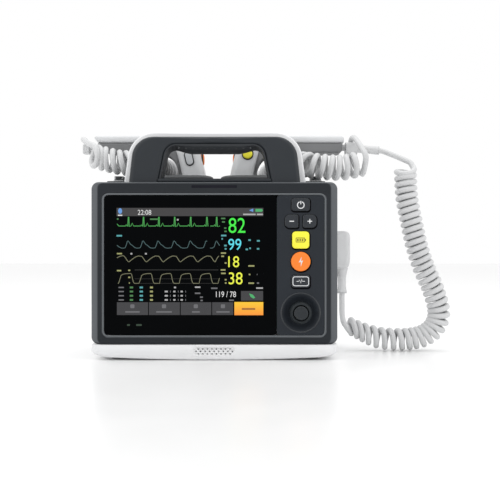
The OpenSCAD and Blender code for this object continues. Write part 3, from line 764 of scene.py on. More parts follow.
def link_cord(side, lead, route, first, hand, lean):
    """From a paddle's gland, along its half of the coil, to the middle behind the unit."""
    coil = helix(route, LINK_R, LINK_TURNS, first, hand, closing=1.0, lean=lean)
    cord, line, length = make_cord(f"link_cord_{side}", lead + coil)
    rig.replaces(cord, f"link_lead_{side}", f"link_coil_{side}")
    bend = -1 if side == "left" else 1
    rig.blend(cord, "housing", f"paddle_{side}", start=(0, 0.100, 0.154), end=(bend * 0.068, 0.074, 0.224))
    return cord, line, length


main, main_line, main_length = main_cord()
link_right, right_line, right_length = link_cord("right", LEAD_RIGHT, LINK_RIGHT, (0, 0, -1), -1, 0.0)
link_left, left_line, left_length = link_cord("left", LEAD_LEFT, LINK_LEFT, (0, 0, 1), 1, -0.22)


GLAND_Y = 27


def plug_piece():
    """Plug body that narrows to a ribbed strain relief."""
    shape = Shape()
    rings = []
    body_z = [(PLUG.z1, 7), (PLUG.z1 - 0.8, 3.6), (PLUG.z1 - 2.4, 1.4), (PLUG.z1 - 5, 0.3), (PLUG.z1 - 9, 0)]
    body_z += [(112, 0), (106, 0.5), (102, 1.6), (99.6, 3.4), (99, 5)]
    x0 = box_mm("rear_housing").x1 + 1.2
    for z, inset in body_z:
        corner = max(6 - inset * 0.3, 1.5)
        outline = rounded(x0 + inset * 0.5, PLUG.x1 - inset, -6 + inset, 18 - inset, corner, 7)
        rings.append(at_z(outline, z))
    shape.loft(rings)
    sleeve = [(7.6, 100), (6.6, 97), (5.5, 92), (4.9, 86), (4.8, 79), (5.3, 74.5), (6.0, 72.4), (6.2, 71.2),
              (5.4, 71.0), (5.4, 70.6), (6.2, 70.4), (6.0, 69.6)]
    shape.lathe(sleeve, around_z(150.5, 6), 40)
    shape.loft([
        at_x(rounded(-4, 16, 102, 142, 5, 6), x) for x in (PLUG.x0, x0 + 1)
    ])
    return make("plug_body", shape, "cord_grey", "housing", "cord_grey", ["plug"], bevel=0.4, segments=2)


def gland_piece(side):
    """Junction block at a grip's end, and on the right the main cord's strain relief."""
    node = f"{side}_gland"
    shape = Shape()
    y = GLAND_Y
    if side == "right":
        shape.loft([at_x(rounded(y - 9, y + 9, 239, 254, 4, 6), x) for x in (157, 171)])
        shape.lathe([(4, 147), (4, 158)], around_x(y, 248), 32)
        shape_relief(shape, Vector((170, y, 247)), 29)
    else:
        shape.loft([at_x(rounded(y - 7, y + 7, 240, 251.5, 3, 6), x) for x in (-166, -158)])
        shape.lathe([(4, 147), (4, 159)], around_x(y, 246, -1), 32)
    return make(node + "_body", shape, "cord_grey", f"paddle_{side}", "cord_grey", [node], bevel=1.0)


def shape_relief(shape, start, length):
    """Strain relief that leans 5 degrees down, with a fine groove before its end ring."""
    tilt = Matrix.Rotation(math.radians(95), 3, "Y")
    profile = [(4.9, 0), (4.9, length * 0.5), (5.2, length - 2.3), (4.7, length - 2.0), (4.7, length - 1.7),
               (5.3, length - 1.4), (5.3, length - 0.2), (4.8, length)]

    def place(r, a, h):
        return tuple(start + tilt @ Vector((r * math.cos(a), r * math.sin(a), h)))

    shape.lathe(profile, place, 36)


plug_body = plug_piece()
right_gland = gland_piece("right")
left_gland = gland_piece("left")

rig.cord(main, exit=main_line[0], length=main_length, diameter=CORD_D * MM, far_end="connector",
        stiffness="medium", lay="coiled", path=main_line, with_pieces=[plug_body, right_gland])
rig.cord(link_right, exit=right_line[0], length=right_length, diameter=CORD_D * MM, far_end="object",
        stiffness="medium", lay="coiled", path=right_line)
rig.cord(link_left, exit=left_line[0], length=left_length, diameter=CORD_D * MM, far_end="object",
        stiffness="medium", lay="coiled", path=left_line, with_pieces=[left_gland])

# ---------- housing ----------


PROUD = 1.3  # How far the bezel and pan stand out past the shell behind


def frame_ring(y, inset_x, inset_low, inset_high, r):
    """One ring of the bezel's outside."""
    outline = rounded(
        BEZEL.x0 - PROUD + inset_x, BEZEL.x1 + PROUD - inset_x,
        BEZEL.z0 + inset_low, BEZEL.z1 - inset_high, r, 10
    )
    return at_y(outline, y)


def front_bezel():
    """Dark frame with soft sloped sides and a shallow step in to the window."""
    front = BEZEL.y0
    window = dict(x0=-123.4, x1=123.4, z0=25.7, z1=184.3)
    rings = [
        frame_ring(BEZEL.y1, PROUD + 0.5, 0, 0.5, 7.5),
        frame_ring(BEZEL.y1 - 0.3, 0.4, 0, 0.2, 8),
        frame_ring(BEZEL.y1 - 1, 0, 0, 0, 8),
        frame_ring(front + 6.6, 0, 0, 0, 8),
        frame_ring(front + 5.9, 0.25, 0, 0.1, 8),
        frame_ring(front + 5.2, 0.85, 0.1, 0.3, 8),
        frame_ring(front + 0.9, 6.9, 0.7, 1.0, 6.4),
        frame_ring(front + 0.35, 7.8, 0.9, 1.5, 6.2),
        frame_ring(front + 0.05, 8.8, 1.3, 2.2, 6),
        frame_ring(front, 9.6, 1.6, 3, 5.8),
    ]
    for grow, y in ((0.8, front), (0, front + 0.3), (-0.6, front + 1.6), (-1.2, front + 3)):
        outline = rounded(window["x0"] - grow, window["x1"] + grow, window["z0"] - grow,
                          window["z1"] + grow, 6.6 + grow, 10)
        rings.append(at_y(outline, y))
    shape = Shape().loft(rings, (False, False))
    # dark_shell paints the sloped sides and the top edge paler: a painted highlight.
    return make("bezel", shape, "dark_shell", "housing", "dark_shell", ["front_bezel"], sharp=50)


def window_rim():
    """Thin lighter edge round the window."""
    front = BEZEL.y0
    rings = []
    for grow, y in ((0.9, front + 0.1), (0.7, front - 0.12), (0.2, front - 0.25), (-0.4, front - 0.2),
                    (-0.9, front + 0.1), (-1.1, front + 0.8)):
        outline = rounded(-122.4 - grow, 122.4 + grow, 26.7 - grow, 183.3 + grow, 6 + grow, 10)
        rings.append(at_y(outline, y))
    shape = Shape().loft(rings, (False, False))
    return make("window_rim", shape, "rim", "housing", "dark_shell", sharp=60)


PAN_BOW = 3.6       # how much higher the pan's lower edge is at its ends than at its middle
PAN_STOPS = (-120, -90, -60, -24, 24, 60, 90, 120)


def with_stops(outline, stops):
    """The same outline, with a point added wherever an edge crosses one of the stops in X."""
    out = []
    for i, (x, y) in enumerate(outline):
        nx, ny = outline[(i + 1) % len(outline)]
        out.append((x, y))
        crossed = [stop for stop in stops if min(x, nx) < stop < max(x, nx)]
        for stop in sorted(crossed, key=lambda v: abs(v - x)):
            out.append((stop, y + (ny - y) * (stop - x) / (nx - x)))
    return out


def base_pan():
    """White pan whose underside curves in, with the speaker holes in its chin."""
    rings = []
    steps = 12
    for i in range(steps + 1):
        a = math.radians(90 * i / steps)
        inset = 1 - math.cos(a)
        z = 10.5 - 10.1 * math.sin(a)
        side = PROUD - 15 * inset
        outline = rounded(PAN.x0 - side, PAN.x1 + side, PAN.y0 + 3.5 * inset, PAN.y1 - 8 * inset, 9, 8)
        lift = PAN_BOW * math.sin(a)
        rings.append([(x, y, z + lift * (x / PAN.x1) ** 2) for x, y in with_stops(outline, PAN_STOPS)])
    top = []
    for z, g in ((BEZEL.z0 - 0.05, 0.6), (BEZEL.z0 - 0.6, 0)):
        outline = rounded(PAN.x0 - PROUD + g, PAN.x1 + PROUD - g, PAN.y0 + g, PAN.y1 - g, 9, 8)
        top.append(at_z(with_stops(outline, PAN_STOPS), z))
    shape = Shape().loft(top + rings)
    pan = make("base_pan", shape, "white_shell", "housing", "white_shell", ["base_housing"], sharp=50)
    holes = Shape()
    for row, z in enumerate((12.7, 10, 7.3)):
        count = 9 if row == 1 else 8
        for i in range(count):
            x = 5 * (i - (count - 1) / 2)
            holes.lathe([(0.95, PAN.y0 - 1), (0.95, PAN.y0 + 4)], around_y(x, z), 16)
    tool = make("speaker_tool", holes, "black_rubber", "housing", "black_rubber")
    cut = pan.modifiers.new("holes", "BOOLEAN")
    cut.object = tool
    cut.solver = "EXACT"
    bpy.context.view_layer.update()
    applied(pan)
    bpy.data.objects.remove(tool)
    return pan


def arch(foot_x, foot_z, base_z, cx, cz, r, count):
    """Points along an arch, from its right foot over the top to its left foot, evenly spaced."""
    dx, dz = foot_x - cx, foot_z - cz
    touch = math.degrees(math.atan2(dz, dx) + math.acos(r / math.hypot(dx, dz)))
    half = [(foot_x, base_z), (foot_x, foot_z)] + arc(cx, cz, r, touch, 90, 24)
    line = [Vector((x, z)) for x, z in half] + [Vector((-x, z)) for x, z in half[::-1]]
    at = lengths(line)
    out = []
    k = 0
    for i in range(count + 1):
        s = at[-1] * i / count
        while k < len(at) - 2 and at[k + 1] < s:
            k += 1
        out.append(line[k].lerp(line[k + 1], (s - at[k]) / (at[k + 1] - at[k])))
    return out


def arch_skin(outer, inner, y0, y1, radii):
    """Solid between two arches. radii are those of the section's corners: inner front, outer front,
    outer rear, inner rear."""
    rings = []
    for out, inn in zip(outer, inner):
        width = (out - inn).length
        way = (out - inn) / width
        section = rounded(0, width, y0, y1, radii, 6)
        rings.append([(inn.x + a * way.x, y, inn.y + a * way.y) for a, y in section])
    return rings


STATIONS = 120
OPENING = arch(61, 202, BEZEL.z1, 42, 225, 14, STATIONS)


def handle():
    front_outer = arch(95.5, 198, BEZEL.z1, 68.5, 224, 24, STATIONS)
    rear_outer = arch(102.5, 198, BEZEL.z1, 68.5, 224, 30, STATIONS)
    top = BEZEL.z1
    section = (6.5, 6, 0.6, 0.6)
    front = Shape().loft(arch_skin(front_outer, OPENING, FRONT_ARCH.y0, FRONT_ARCH.y1 - 0.15, section))
    front.loft([at_x(rounded(FRONT_ARCH.y0 + 0.3, FRONT_ARCH.y1 - 0.2, top, top + 4, 1.5, 4), x)
                for x in (-63, 63)])
    make("handle_front_shell", front, "handle_dark", "housing", "dark_shell", ["handle_front"], sharp=60)
    rear = Shape().loft(arch_skin(rear_outer, OPENING, REAR_ARCH.y0 + 0.15, REAR_ARCH.y1, (0.6, 2.2, 5, 1.5)))
    rear.loft([at_x(rounded(REAR_ARCH.y0 + 0.2, REAR_ARCH.y1 - 0.3, top, top + 4, 1.2, 4), x)
               for x in (-63, 63)])
    make("handle_rear_shell", rear, "white_shell", "housing", "white_shell", ["handle_rear"], sharp=60)


def grip_insert():
    """Soft lining under the grip, thick at the middle and thin down the legs."""
    rings = []
    count = 10
    y0, y1 = INSERT.y0 - 2.5, INSERT.y1
    deepest = INSERT.z1 - INSERT.z0
    first = 2
    for i in range(first, STATIONS - first + 1):
        p = OPENING[i]
        before, after = OPENING[i - 1], OPENING[i + 1]
        way = (after - before).normalized()
        inward = Vector((-way.y, way.x))
        if inward.dot(Vector((0, 215)) - p) < 0:
            inward = -inward
        t = ease((min(i, STATIONS - i) - 24) / 20)
        depth = 1.2 + (deepest - 1.4) * t
        ring = [(p.x - inward.x * 0.5, y, p.y - inward.y * 0.5) for y in (y1, y0)]
        for k in range(count + 1):
            f = k / count
            sag = max(1.0, depth * (0.12 + 0.88 * math.sin(math.pi * min(1, 0.04 + f * 0.62)) ** 0.8))
            q = p + inward * sag
            ring.append((q.x, y0 + (y1 - y0) * f, q.y))
        rings.append(ring)
    piece = make("grip_lining", Shape().loft(rings), "lining", "housing", "soft_grip",
                 ["grip_insert"], sharp=50)
    dots = Shape()
    for i in range(-5, 6):
        x = 8 * i
        z = INSERT.z1 - 0.12 * deepest - 2.4
        dot = [(0.01, z - 1.1), (0.8, z - 0.95), (1.15, z - 0.4), (1.2, z + 1.2)]
        dots.lathe(dot, around_z(x, y0 + 5.2), 14)
    make("grip_dots", dots, "tray_grey", "housing", "soft_grip")
    return piece


def tray_clips():
    """Pale caps on the tray's end clips."""
    for side in (-1, 1):
        shape = Shape()
        for z0, z1, inset in ((203, 206.6, 0), (207.1, 211.3, 0.7)):
            x0, x1 = sorted((side * (113.4 + inset), side * (126.6 - inset)))
            shape.loft([at_z(rounded(x0, x1, 9.4 + inset, 44.6 - inset, 2, 4), z) for z in (z0, z1)])
        name = "tray_clip_cap_left" if side < 0 else "tray_clip_cap_right"
        make(name, shape, "paddle_grey", "housing", "tray_grey", bevel=0.6, segments=2)


front_bezel()
tray_clips()
window_rim()
base_pan()
handle()
grip_insert()

# ---------- keys and knob ----------


def key_cap(key, outline, material, edge):
    """Cap with a soft edge round its face."""
    node = key + "_key"
    area = box_mm(node)
    steps = [(0, 5), (0, edge + 0.6), (0.12 * edge, 0.45 * edge), (0.45 * edge, 0.12 * edge),
             (edge, 0), (edge + 1.2, 0)]
    rings = []
    for inset, back in steps:
        moved = [(area.cx + x, area.cz + z) for x, z in inset_outline(outline, inset)]
        rings.append(at_y(moved, area.y0 + back))
    return make(key + "_cap", Shape().loft(rings), material, on_node(node)[0], material, [node], sharp=70)


def inset_outline(outline, d):
    """A convex outline moved in by d along its own normals."""
    count = len(outline)
    moved = []
    for i in range(count):
        x0, z0 = outline[i - 1]
        x1, z1 = outline[(i + 1) % count]
        length = math.hypot(x1 - x0, z1 - z0) or 1
        nx, nz = -(z1 - z0) / length, (x1 - x0) / length
        moved.append((outline[i][0] + nx * d, outline[i][1] + nz * d))
    return moved


def ring_outline(shape, outer, inner, y0, y1):
    """A flat band between two outlines of equal point count."""
    rings = [at_y(edge, y) for edge, y in ((inner, y1), (inner, y0), (outer, y0), (outer, y1))]
    shape.loft(rings, (False, False))


def bar(shape, x0, x1, z0, z1, y0, y1):
    shape.prism_y([(x0, z0), (x1, z0), (x1, z1), (x0, z1)], y0, y1)


def stroke(shape, points, width, y0, y1):
    """A line of even width through points, as a flat solid."""
    left, right = [], []
    count = len(points)
    for i, (x, z) in enumerate(points):
        ax, az = points[max(i - 1, 0)]
        bx, bz = points[min(i + 1, count - 1)]
        length = math.hypot(bx - ax, bz - az) or 1
        nx, nz = -(bz - az) / length * width / 2, (bx - ax) / length * width / 2
        left.append((x + nx, z + nz))
        right.append((x - nx, z - nz))
    rings = []
    for (ax, az), (bx, bz) in zip(left, right):
        rings.append([(ax, y0, az), (ax, y1, az), (bx, y1, bz), (bx, y0, bz)])
    shape.loft(rings)


def volume_outline(side):
    """Rounded square with a deeper round on its outer side."""
    deep, small = 5, 2
    radii = (deep, small, small, deep) if side < 0 else (small, deep, deep, small)
    return rounded(-7.25, 7.25, -7.25, 7.25, radii, 8)


KEY_LOOKS = {
    "power": (rounded(-10, 10, -7, 7, 3, 8), "key_dark", 0.9),
    "minus": (volume_outline(-1), "key_dark", 0.9),
    "plus": (volume_outline(1), "key_dark", 0.9),
    "charge": (rounded(-9.5, 9.5, -9.5, 9.5, 4, 8), "key_yellow", 1.2),
    "shock": (disc(0, 0, 10.75), "key_orange", 1.2),
    "mode": (rounded(-10, 10, -7, 7, 3, 8), "key_dark", 0.9),
}


def power_mark(mark, k, y0, y1):
    stroke(mark, arc(k.cx, k.cz - 0.5, 3.65, 108, 432, 36), 1.0, y0, y1)
    bar(mark, k.cx - 0.5, k.cx + 0.5, k.cz + 0.3, k.cz + 4.0, y0, y1)


def minus_mark(mark, k, y0, y1):
    bar(mark, k.cx - 2.5, k.cx + 2.5, k.cz - 0.5, k.cz + 0.5, y0, y1)


def plus_mark(mark, k, y0, y1):
    minus_mark(mark, k, y0, y1)
    bar(mark, k.cx - 0.5, k.cx + 0.5, k.cz - 2.5, k.cz + 2.5, y0 + 0.01, y1)


def charge_mark(mark, k, y0, y1):
    """A full battery."""
    ring_outline(mark, rounded(k.cx - 5.6, k.cx + 4.6, k.cz - 2.6, k.cz + 2.6, 0.8, 4),
                 rounded(k.cx - 4.9, k.cx + 3.9, k.cz - 1.9, k.cz + 1.9, 0.5, 4), y0, y1)
    bar(mark, k.cx + 4.7, k.cx + 5.7, k.cz - 1.1, k.cz + 1.1, y0, y1)
    for i in range(3):
        x = k.cx - 4.1 + 2.6 * i
        bar(mark, x, x + 1.7, k.cz - 1.2, k.cz + 1.2, y0, y1)


def shock_mark(mark, k, y0, y1):
    bolt = [(0.9, 5.2), (-2.3, -1.0), (0.1, -0.5), (-0.2, -5.6), (2.4, 1.2), (0.1, 0.7)]
    mark.prism_y([(k.cx + x, k.cz + z) for x, z in bolt], y0, y1)


def mode_mark(mark, k, y0, y1):
    """A heart beat in a frame."""
    ring_outline(mark, rounded(k.cx - 9, k.cx + 9, k.cz - 5.3, k.cz + 5.3, 2.6, 6),
                 rounded(k.cx - 8.2, k.cx + 8.2, k.cz - 4.5, k.cz + 4.5, 1.9, 6), y0, y1)
    beat = [(-4.6, 0), (-2.4, 0), (-1.4, 1.6), (-0.2, -2.2), (1.0, 2.6), (2.0, 0), (4.6, 0)]
    stroke(mark, [(k.cx + x, k.cz + z) for x, z in beat], 0.7, y0, y1)


def key_marks():
    """Marks that lie on the keys' faces."""
    for draw in (power_mark, minus_mark, plus_mark, charge_mark, shock_mark, mode_mark):
        node = draw.__name__.replace("mark", "key")
        key = box_mm(node)
        mark = Shape()
        draw(mark, key, key.y0 - 0.14, key.y0 + 0.15)
        body, slot = on_node(node)
        make(draw.__name__, mark, "ink_dark" if draw is charge_mark else "ink_white", body, slot, sharp=40)


def knob():
    """Ring with fine ribs round a slightly dished cap, in a bowl with a fine raised edge."""
    y0 = KNOB.y0
    r = (KNOB.x1 - KNOB.x0) / 2
    ring = [
        (8.5, y0 + 13.1), (8.5, y0 + 3.2), (8.8, y0 + 2.6), (9.3, y0 + 2.4), (10.6, y0 + 3.1),
        (r - 0.7, y0 + 4.3), (r - 0.15, y0 + 5.0), (r, y0 + 6.0), (r, y0 + 12.5), (r - 0.4, y0 + 13.1),
    ]
    cap = [
        (0.01, y0 + 0.7), (4.0, y0 + 0.55), (5.9, y0 + 0.15), (6.6, y0), (7.2, y0 + 0.25), (7.5, y0 + 0.9),
        (7.5, y0 + 12), (0.01, y0 + 12),
    ]

    def ribs(radius, height, angle):
        return 0.28 * math.cos(36 * angle) if radius > 11.9 and height < y0 + 12.8 else 0

    place = around_y(KNOB.cx, KNOB.cz)
    shape = Shape().lathe(ring, place, 216, ribs, closed=True)
    make("knob_ring", shape, "knob_dark", "knob", "knob_dark", ["control_knob"], sharp=40)
    make("knob_cap", Shape().lathe(cap, place, 64), "knob_top", "knob", "knob_dark", sharp=40)
    front = PANEL.y0
    edge = [(22.2, front + 0.3), (22.0, front - 0.25), (21.5, front - 0.35),
            (21.0, front - 0.15), (20.7, front + 0.6)]
    bowl = Shape().lathe(edge, place, 96, closed=True)
    make("bowl_edge", bowl, "rim_dark", "housing", "keypad", sharp=60)


def key_gaps():
    """Dark rings that show as the gaps round the keys, widest below them as a painted shadow, and open where a key
    goes in.
    """
    shape = Shape()
    for name, look in KEY_LOOKS.items():
        outline = look[0]
        key = box_mm(name + "_key")
        # Outer edge moved right and down: a painted shadow under each key.
        outer = [(key.cx + x + 0.3, key.cz + z - 0.7) for x, z in inset_outline(outline, -1.1)]
        inner = [(key.cx + x, key.cz + z) for x, z in inset_outline(outline, -0.12)]
        ring_outline(shape, outer, inner, PANEL.y0 - 0.08, PANEL.y0 + 0.05)
    make("key_gaps", shape, "gap", "housing", "keypad")


key_gaps()
for key, look in KEY_LOOKS.items():
    key_cap(key, *look)
key_marks()
knob()

# ---------- display ----------

LIT_LEFT = -107.4
LIT_TOP = 168.0
LIT_Y = GLASS.y0 - 0.10

GREEN = glow("lit_green", (0.035, 0.90, 0.045))
CYAN = glow("lit_cyan", (0.09, 0.74, 0.86))
YELLOW = glow("lit_yellow", (0.86, 0.93, 0.045))
WHITE = glow("lit_white", (0.75, 0.75, 0.75))
DIM_GREEN = glow("lit_dim_green", (0.045, 0.20, 0.05))
DIM_CYAN = glow("lit_dim_cyan", (0.05, 0.115, 0.12))
DIM_YELLOW = glow("lit_dim_yellow", (0.17, 0.17, 0.09))
FAINT = glow("lit_faint", (0.010, 0.010, 0.009))
BAR_GREY = glow("lit_bar", (0.028, 0.026, 0.028))
KEY_GREY = glow("lit_key", (0.024, 0.024, 0.028))
BLUE = glow("lit_blue", (0.12, 0.32, 0.72))


class Lit:
    """Marks of one colour on the display, placed in millimetres from the lit area's top left corner."""

    def __init__(self, layer=0):
        self.shape = Shape()
        self.y = LIT_Y - 0.03 * layer

    def bar(self, u0, u1, v0, v1):
        bar(self.shape, LIT_LEFT + u0, LIT_LEFT + u1, LIT_TOP - v1, LIT_TOP - v0, self.y, self.y + 0.05)

    def line(self, points, width):
        stroke(self.shape, [(LIT_LEFT + u, LIT_TOP - v) for u, v in points], width, self.y, self.y + 0.05)

    def outline(self, points):
        self.shape.prism_y([(LIT_LEFT + u, LIT_TOP - v) for u, v in points], self.y, self.y + 0.05)

    def number(self, text, u0, u1, v0, v1):
        """Digits that fill a box."""
        curve = bpy.data.curves.new("digits", "FONT")
        curve.body = text
        holder = bpy.data.objects.new("digits", curve)
        bpy.context.scene.collection.objects.link(holder)
        bpy.context.view_layer.update()
        mesh = bpy.data.meshes.new_from_object(holder.evaluated_get(bpy.context.evaluated_depsgraph_get()))
        bpy.data.objects.remove(holder)
        xs = [v.co.x for v in mesh.vertices]
        ys = [v.co.y for v in mesh.vertices]
        low_x, low_y = min(xs), min(ys)
        sx = (u1 - u0) / (max(xs) - low_x)
        sy = (v1 - v0) / (max(ys) - low_y)
        points = [
            (LIT_LEFT + u0 + (v.co.x - low_x) * sx, self.y, LIT_TOP - v1 + (v.co.y - low_y) * sy)
            for v in mesh.vertices
        ]
        self.shape.add(points, [list(p.vertices) for p in mesh.polygons])

    def make(self, name, material):
        return make(name, self.shape, material, "housing", "screen", solid=False)


def ecg_trace():
    """One beat: a small wave, a tall narrow peak and a rounder wave."""
    lit = Lit(1)
    base = 19.9

    def beat(u):
        return [
            (u - 3.4, base), (u - 2.4, base - 1.4), (u - 1.6, base), (u - 0.9, base + 0.5), (u - 0.3, 9.8),
            (u + 0.3, 9.8), (u + 0.7, base + 0.8), (u + 2.6, base), (u + 4.0, base - 3.2), (u + 5.6, base),
        ]

    lit.line([(0.6, 17.6), (2.4, base)] + [p for u in (13.2, 29.7, 46.6, 64.0, 81.6) for p in beat(u)]
             + [(96.0, base)] + beat(99.4)[:6] + [(100.6, base + 0.4)], 0.85)
    lit.line([(103.2, base)] + beat(110.2)[:7] + [(113.6, base)], 0.85)
    lit.make("trace_ecg", glow("lit_ecg", (0.045, 0.36, 0.06)))


def pulse_trace():
    lit = Lit(1)
    low, high = 44.2, 36.2
    crests = [12.6, 29.2, 45.7, 63.4, 81.1, 98.7]
    points = [(0.4, 41.0), (3.2, 43.2), (5.4, low), (8.4, low)]
    for u in crests:
        points += [(u - 3.2, low - 0.4), (u - 1.8, 40.6), (u - 0.7, high + 0.6), (u, high)]
        points += [(u + 0.9, high + 1.0)]
        if u < 95:
            points += [(u + 2.8, 40.0), (u + 4.8, 41.2), (u + 7.4, 43.6), (u + 9.4, low), (u + 11.4, low)]
    lit.line(points, 0.7)
    newest = [(102.8, low), (105.4, low), (107.4, 42.8), (109.2, 37.2), (109.9, high), (111.2, 38.2)]
    lit.line(newest + [(113.4, 41.4)], 0.7)
    lit.make("trace_pulse", DIM_CYAN)


def breath_trace():
    lit = Lit(1)
    points = [(0.4, 54.9), (3.6, 53.2), (7.2, 52.5)]
    breaths = [(7.3, 13.7), (26.4, 33.1), (45.4, 51.6), (64.5, 70.4), (83.2, 89.6), (102.2, 108.6)]
    for crest, trough in breaths:
        span = trough - crest
        points += [(crest + span * f, 52.5 + 6.9 * ease(f)) for f in (0.2, 0.4, 0.6, 0.8, 1.0)]
        end = min(crest + 19.0, 113.6)
        rise = end - trough
        for f in (0.08, 0.2, 0.4, 0.6, 0.8):
            points.append((trough + rise * f, 59.4 - 6.9 * math.sin(f * math.pi / 2)))
    lit.line([p for p in points if p[0] < 113.8], 0.8)
    lit.make("trace_breath", DIM_YELLOW)


def gas_trace():
    lit = Lit(1)
    top, low = 72.1, 83.0
    points = [(1.6, low + 0.4), (2.6, low - 1.0)]
    for rise, fall in ((3.4, 17.1), (26.1, 39.0), (47.7, 60.6), (69.6, 81.9), (91.4, 103.8)):
        points += [(rise + 0.4, 78.0), (rise + 1.6, 74.2), (rise + 3.6, 73.0), (rise + 6.5, 72.4),
                   (fall - 1.4, top), (fall - 0.4, 73.4), (fall + 0.6, 78.6), (fall + 1.6, 82.0),
                   (fall + 2.6, low), (min(rise + 21.2, 111.6), low)]
    lit.line(points + [(113.2, 77.2)], 0.75)
    lit.make("trace_gas", DIM_YELLOW)


def display_marks():
    """Status bar, the row of touch keys with the orange one, and faint grid lines."""
    back = Lit(0)
    back.bar(0, 161.4, 0, 9.0)
    back.make("lit_status_bar", BAR_GREY)
    pads = Lit(0)
    for u0, u1 in ((0.4, 34.6), (35.6, 69.6), (70.6, 104.2), (105.2, 128.2)):
        pads.bar(u0, u1, 103.8, 117.8)
    pads.bar(136.9, 161.2, 91.4, 102.0)
    pads.make("lit_pads", KEY_GREY)
    pace = Lit(0)
    pace.bar(129.6, 161.4, 103.5, 118.0)
    pace.make("lit_orange_pad", sunset_glow("lit_orange", (1.0, 0.60, 0.012), (1.0, 0.30, 0.02),
                                            LIT_TOP - 103.5, LIT_TOP - 118, 0.95))
    thin = Lit(0)
    thin.bar(20, 112, 67.9, 68.5)
    for v in (78.0, 83.0):
        thin.bar(20, 112, v - 0.15, v + 0.15)
    thin.make("lit_grid", FAINT)


def figures():
    for name, material, numbers in (
        ("figure_heart_rate", GREEN, [("82", 123.2, 141.7, 11.0, 27.6)]),
        ("figure_oxygen", CYAN, [("99", 122.9, 137.2, 34.0, 46.4)]),
        ("figure_breath_and_gas", YELLOW,
         [("18", 122.9, 134.9, 53.1, 65.3), ("38", 123.4, 138.6, 70.9, 84.1)]),
        ("figure_time_and_pressure", WHITE,
         [("22:08", 23.3, 38.2, 2.2, 7.6), ("119 / 78", 109.4, 131.3, 91.9, 98.2)]),
    ):
        lit = Lit(1)
        for number in numbers:
            lit.number(*number)
        lit.make(name, material)


def labels():
    """Short bars in the places of the small labels."""
    green, cyan, yellow, white, dim = Lit(1), Lit(1), Lit(1), Lit(1), Lit(1)
    for u0, u1, v in ((0.4, 2.2, 12.2), (36.8, 47.0, 12.4), (115, 119.6, 11.6), (116, 119.2, 15.4),
                      (118.4, 120.8, 22.2), (118.6, 121.2, 25.8)):
        green.bar(u0, u1, v - 0.8, v + 0.8)
    for u0, u1, v in ((0, 6.0, 30.6), (115, 120.8, 30.4), (115.4, 117.0, 34), (118.4, 121.2, 41.4),
                      (119, 121, 45), (145, 147.6, 35.4), (154.4, 157.6, 36.2), (142, 144.6, 45.6),
                      (146, 147.8, 44.4), (154.4, 157, 45)):
        cyan.bar(u0, u1, v - 0.9, v + 0.9)
    for u0, u1, v in ((0.4, 6.0, 50.3), (114.8, 120.4, 49.7), (115.2, 118.2, 53.2), (119, 121, 60.6),
                      (0.4, 5.2, 69.0), (12.8, 15.0, 68.7), (12.8, 15.0, 76.4), (13.6, 14.6, 82.6),
                      (114.6, 119.8, 68.2), (115, 120, 72), (119, 121, 79), (119.2, 121, 82.6),
                      (144.9, 151.6, 63.8), (145.4, 147.2, 73.2), (145, 151.2, 82.8)):
        yellow.bar(u0, u1, v - 0.8, v + 0.8)
    for u, v in ((67.3, 13.0), (16.3, 50.4), (32.3, 50.4)):
        white.bar(u - 1, u + 1, v - 0.9, v + 0.9)
    for v in (87.5, 92.0, 96.6, 101.2):
        dim.bar(2.2, 8.0, v - 0.7, v + 0.7)
        green.bar(14.6, 18.2, v - 1.0, v + 1.0)
        cyan.bar(25.4, 29.0, v - 1.0, v + 1.0)
        yellow.bar(36.8, 40.0, v - 1.0, v + 1.0)
    for v in (92.0, 96.6, 101.2):
        for u0, u1 in ((53, 56.4), (62.4, 64.8), (70.4, 72.9)):
            white.bar(u0, u1, v - 0.9, v + 0.9)
        for u in (59.2, 67.9, 76.0):
            dim.bar(u - 0.3, u + 0.3, v - 1.1, v + 1.1)
    white.bar(63.2, 65.4, 86.6, 88.4)
    for u0, u1, v in ((86.2, 92.2, 87.2), (153.6, 161.0, 88.2), (139.2, 153, 7.1), (154.4, 161, 7.1)):
        white.bar(u0, u1, v - 0.8, v + 0.8)
    for u0, u1, v in ((104, 111, 88.4), (86.2, 92.2, 93.9), (91.8, 95, 98.2), (92.4, 94.8, 101.8),
                      (123.8, 129, 101.6), (9.6, 25.4, 114.4), (43.6, 60.8, 114.4), (83, 91.6, 114.4),
                      (109.8, 124.4, 114.4), (154.4, 155, 73.2), (154.4, 156.8, 82.7)):
        dim.bar(u0, u1, v - 0.8, v + 0.8)
    for u in (17.4, 52.2, 87.2, 117.0):
        dim.outline([(u + x, 108.2 + z) for x, z in rounded(-2.3, 2.3, -2.1, 2.1, 0.9, 4)])
    green.make("labels_green", DIM_GREEN)
    cyan.make("labels_cyan", glow("lit_label_cyan", (0.07, 0.36, 0.38)))
    yellow.make("labels_yellow", glow("lit_label_yellow", (0.33, 0.34, 0.12)))
    white.make("labels_white", glow("lit_label_white", (0.42, 0.42, 0.42)))
    dim.make("labels_dim", glow("lit_label_dim", (0.13, 0.13, 0.14)))


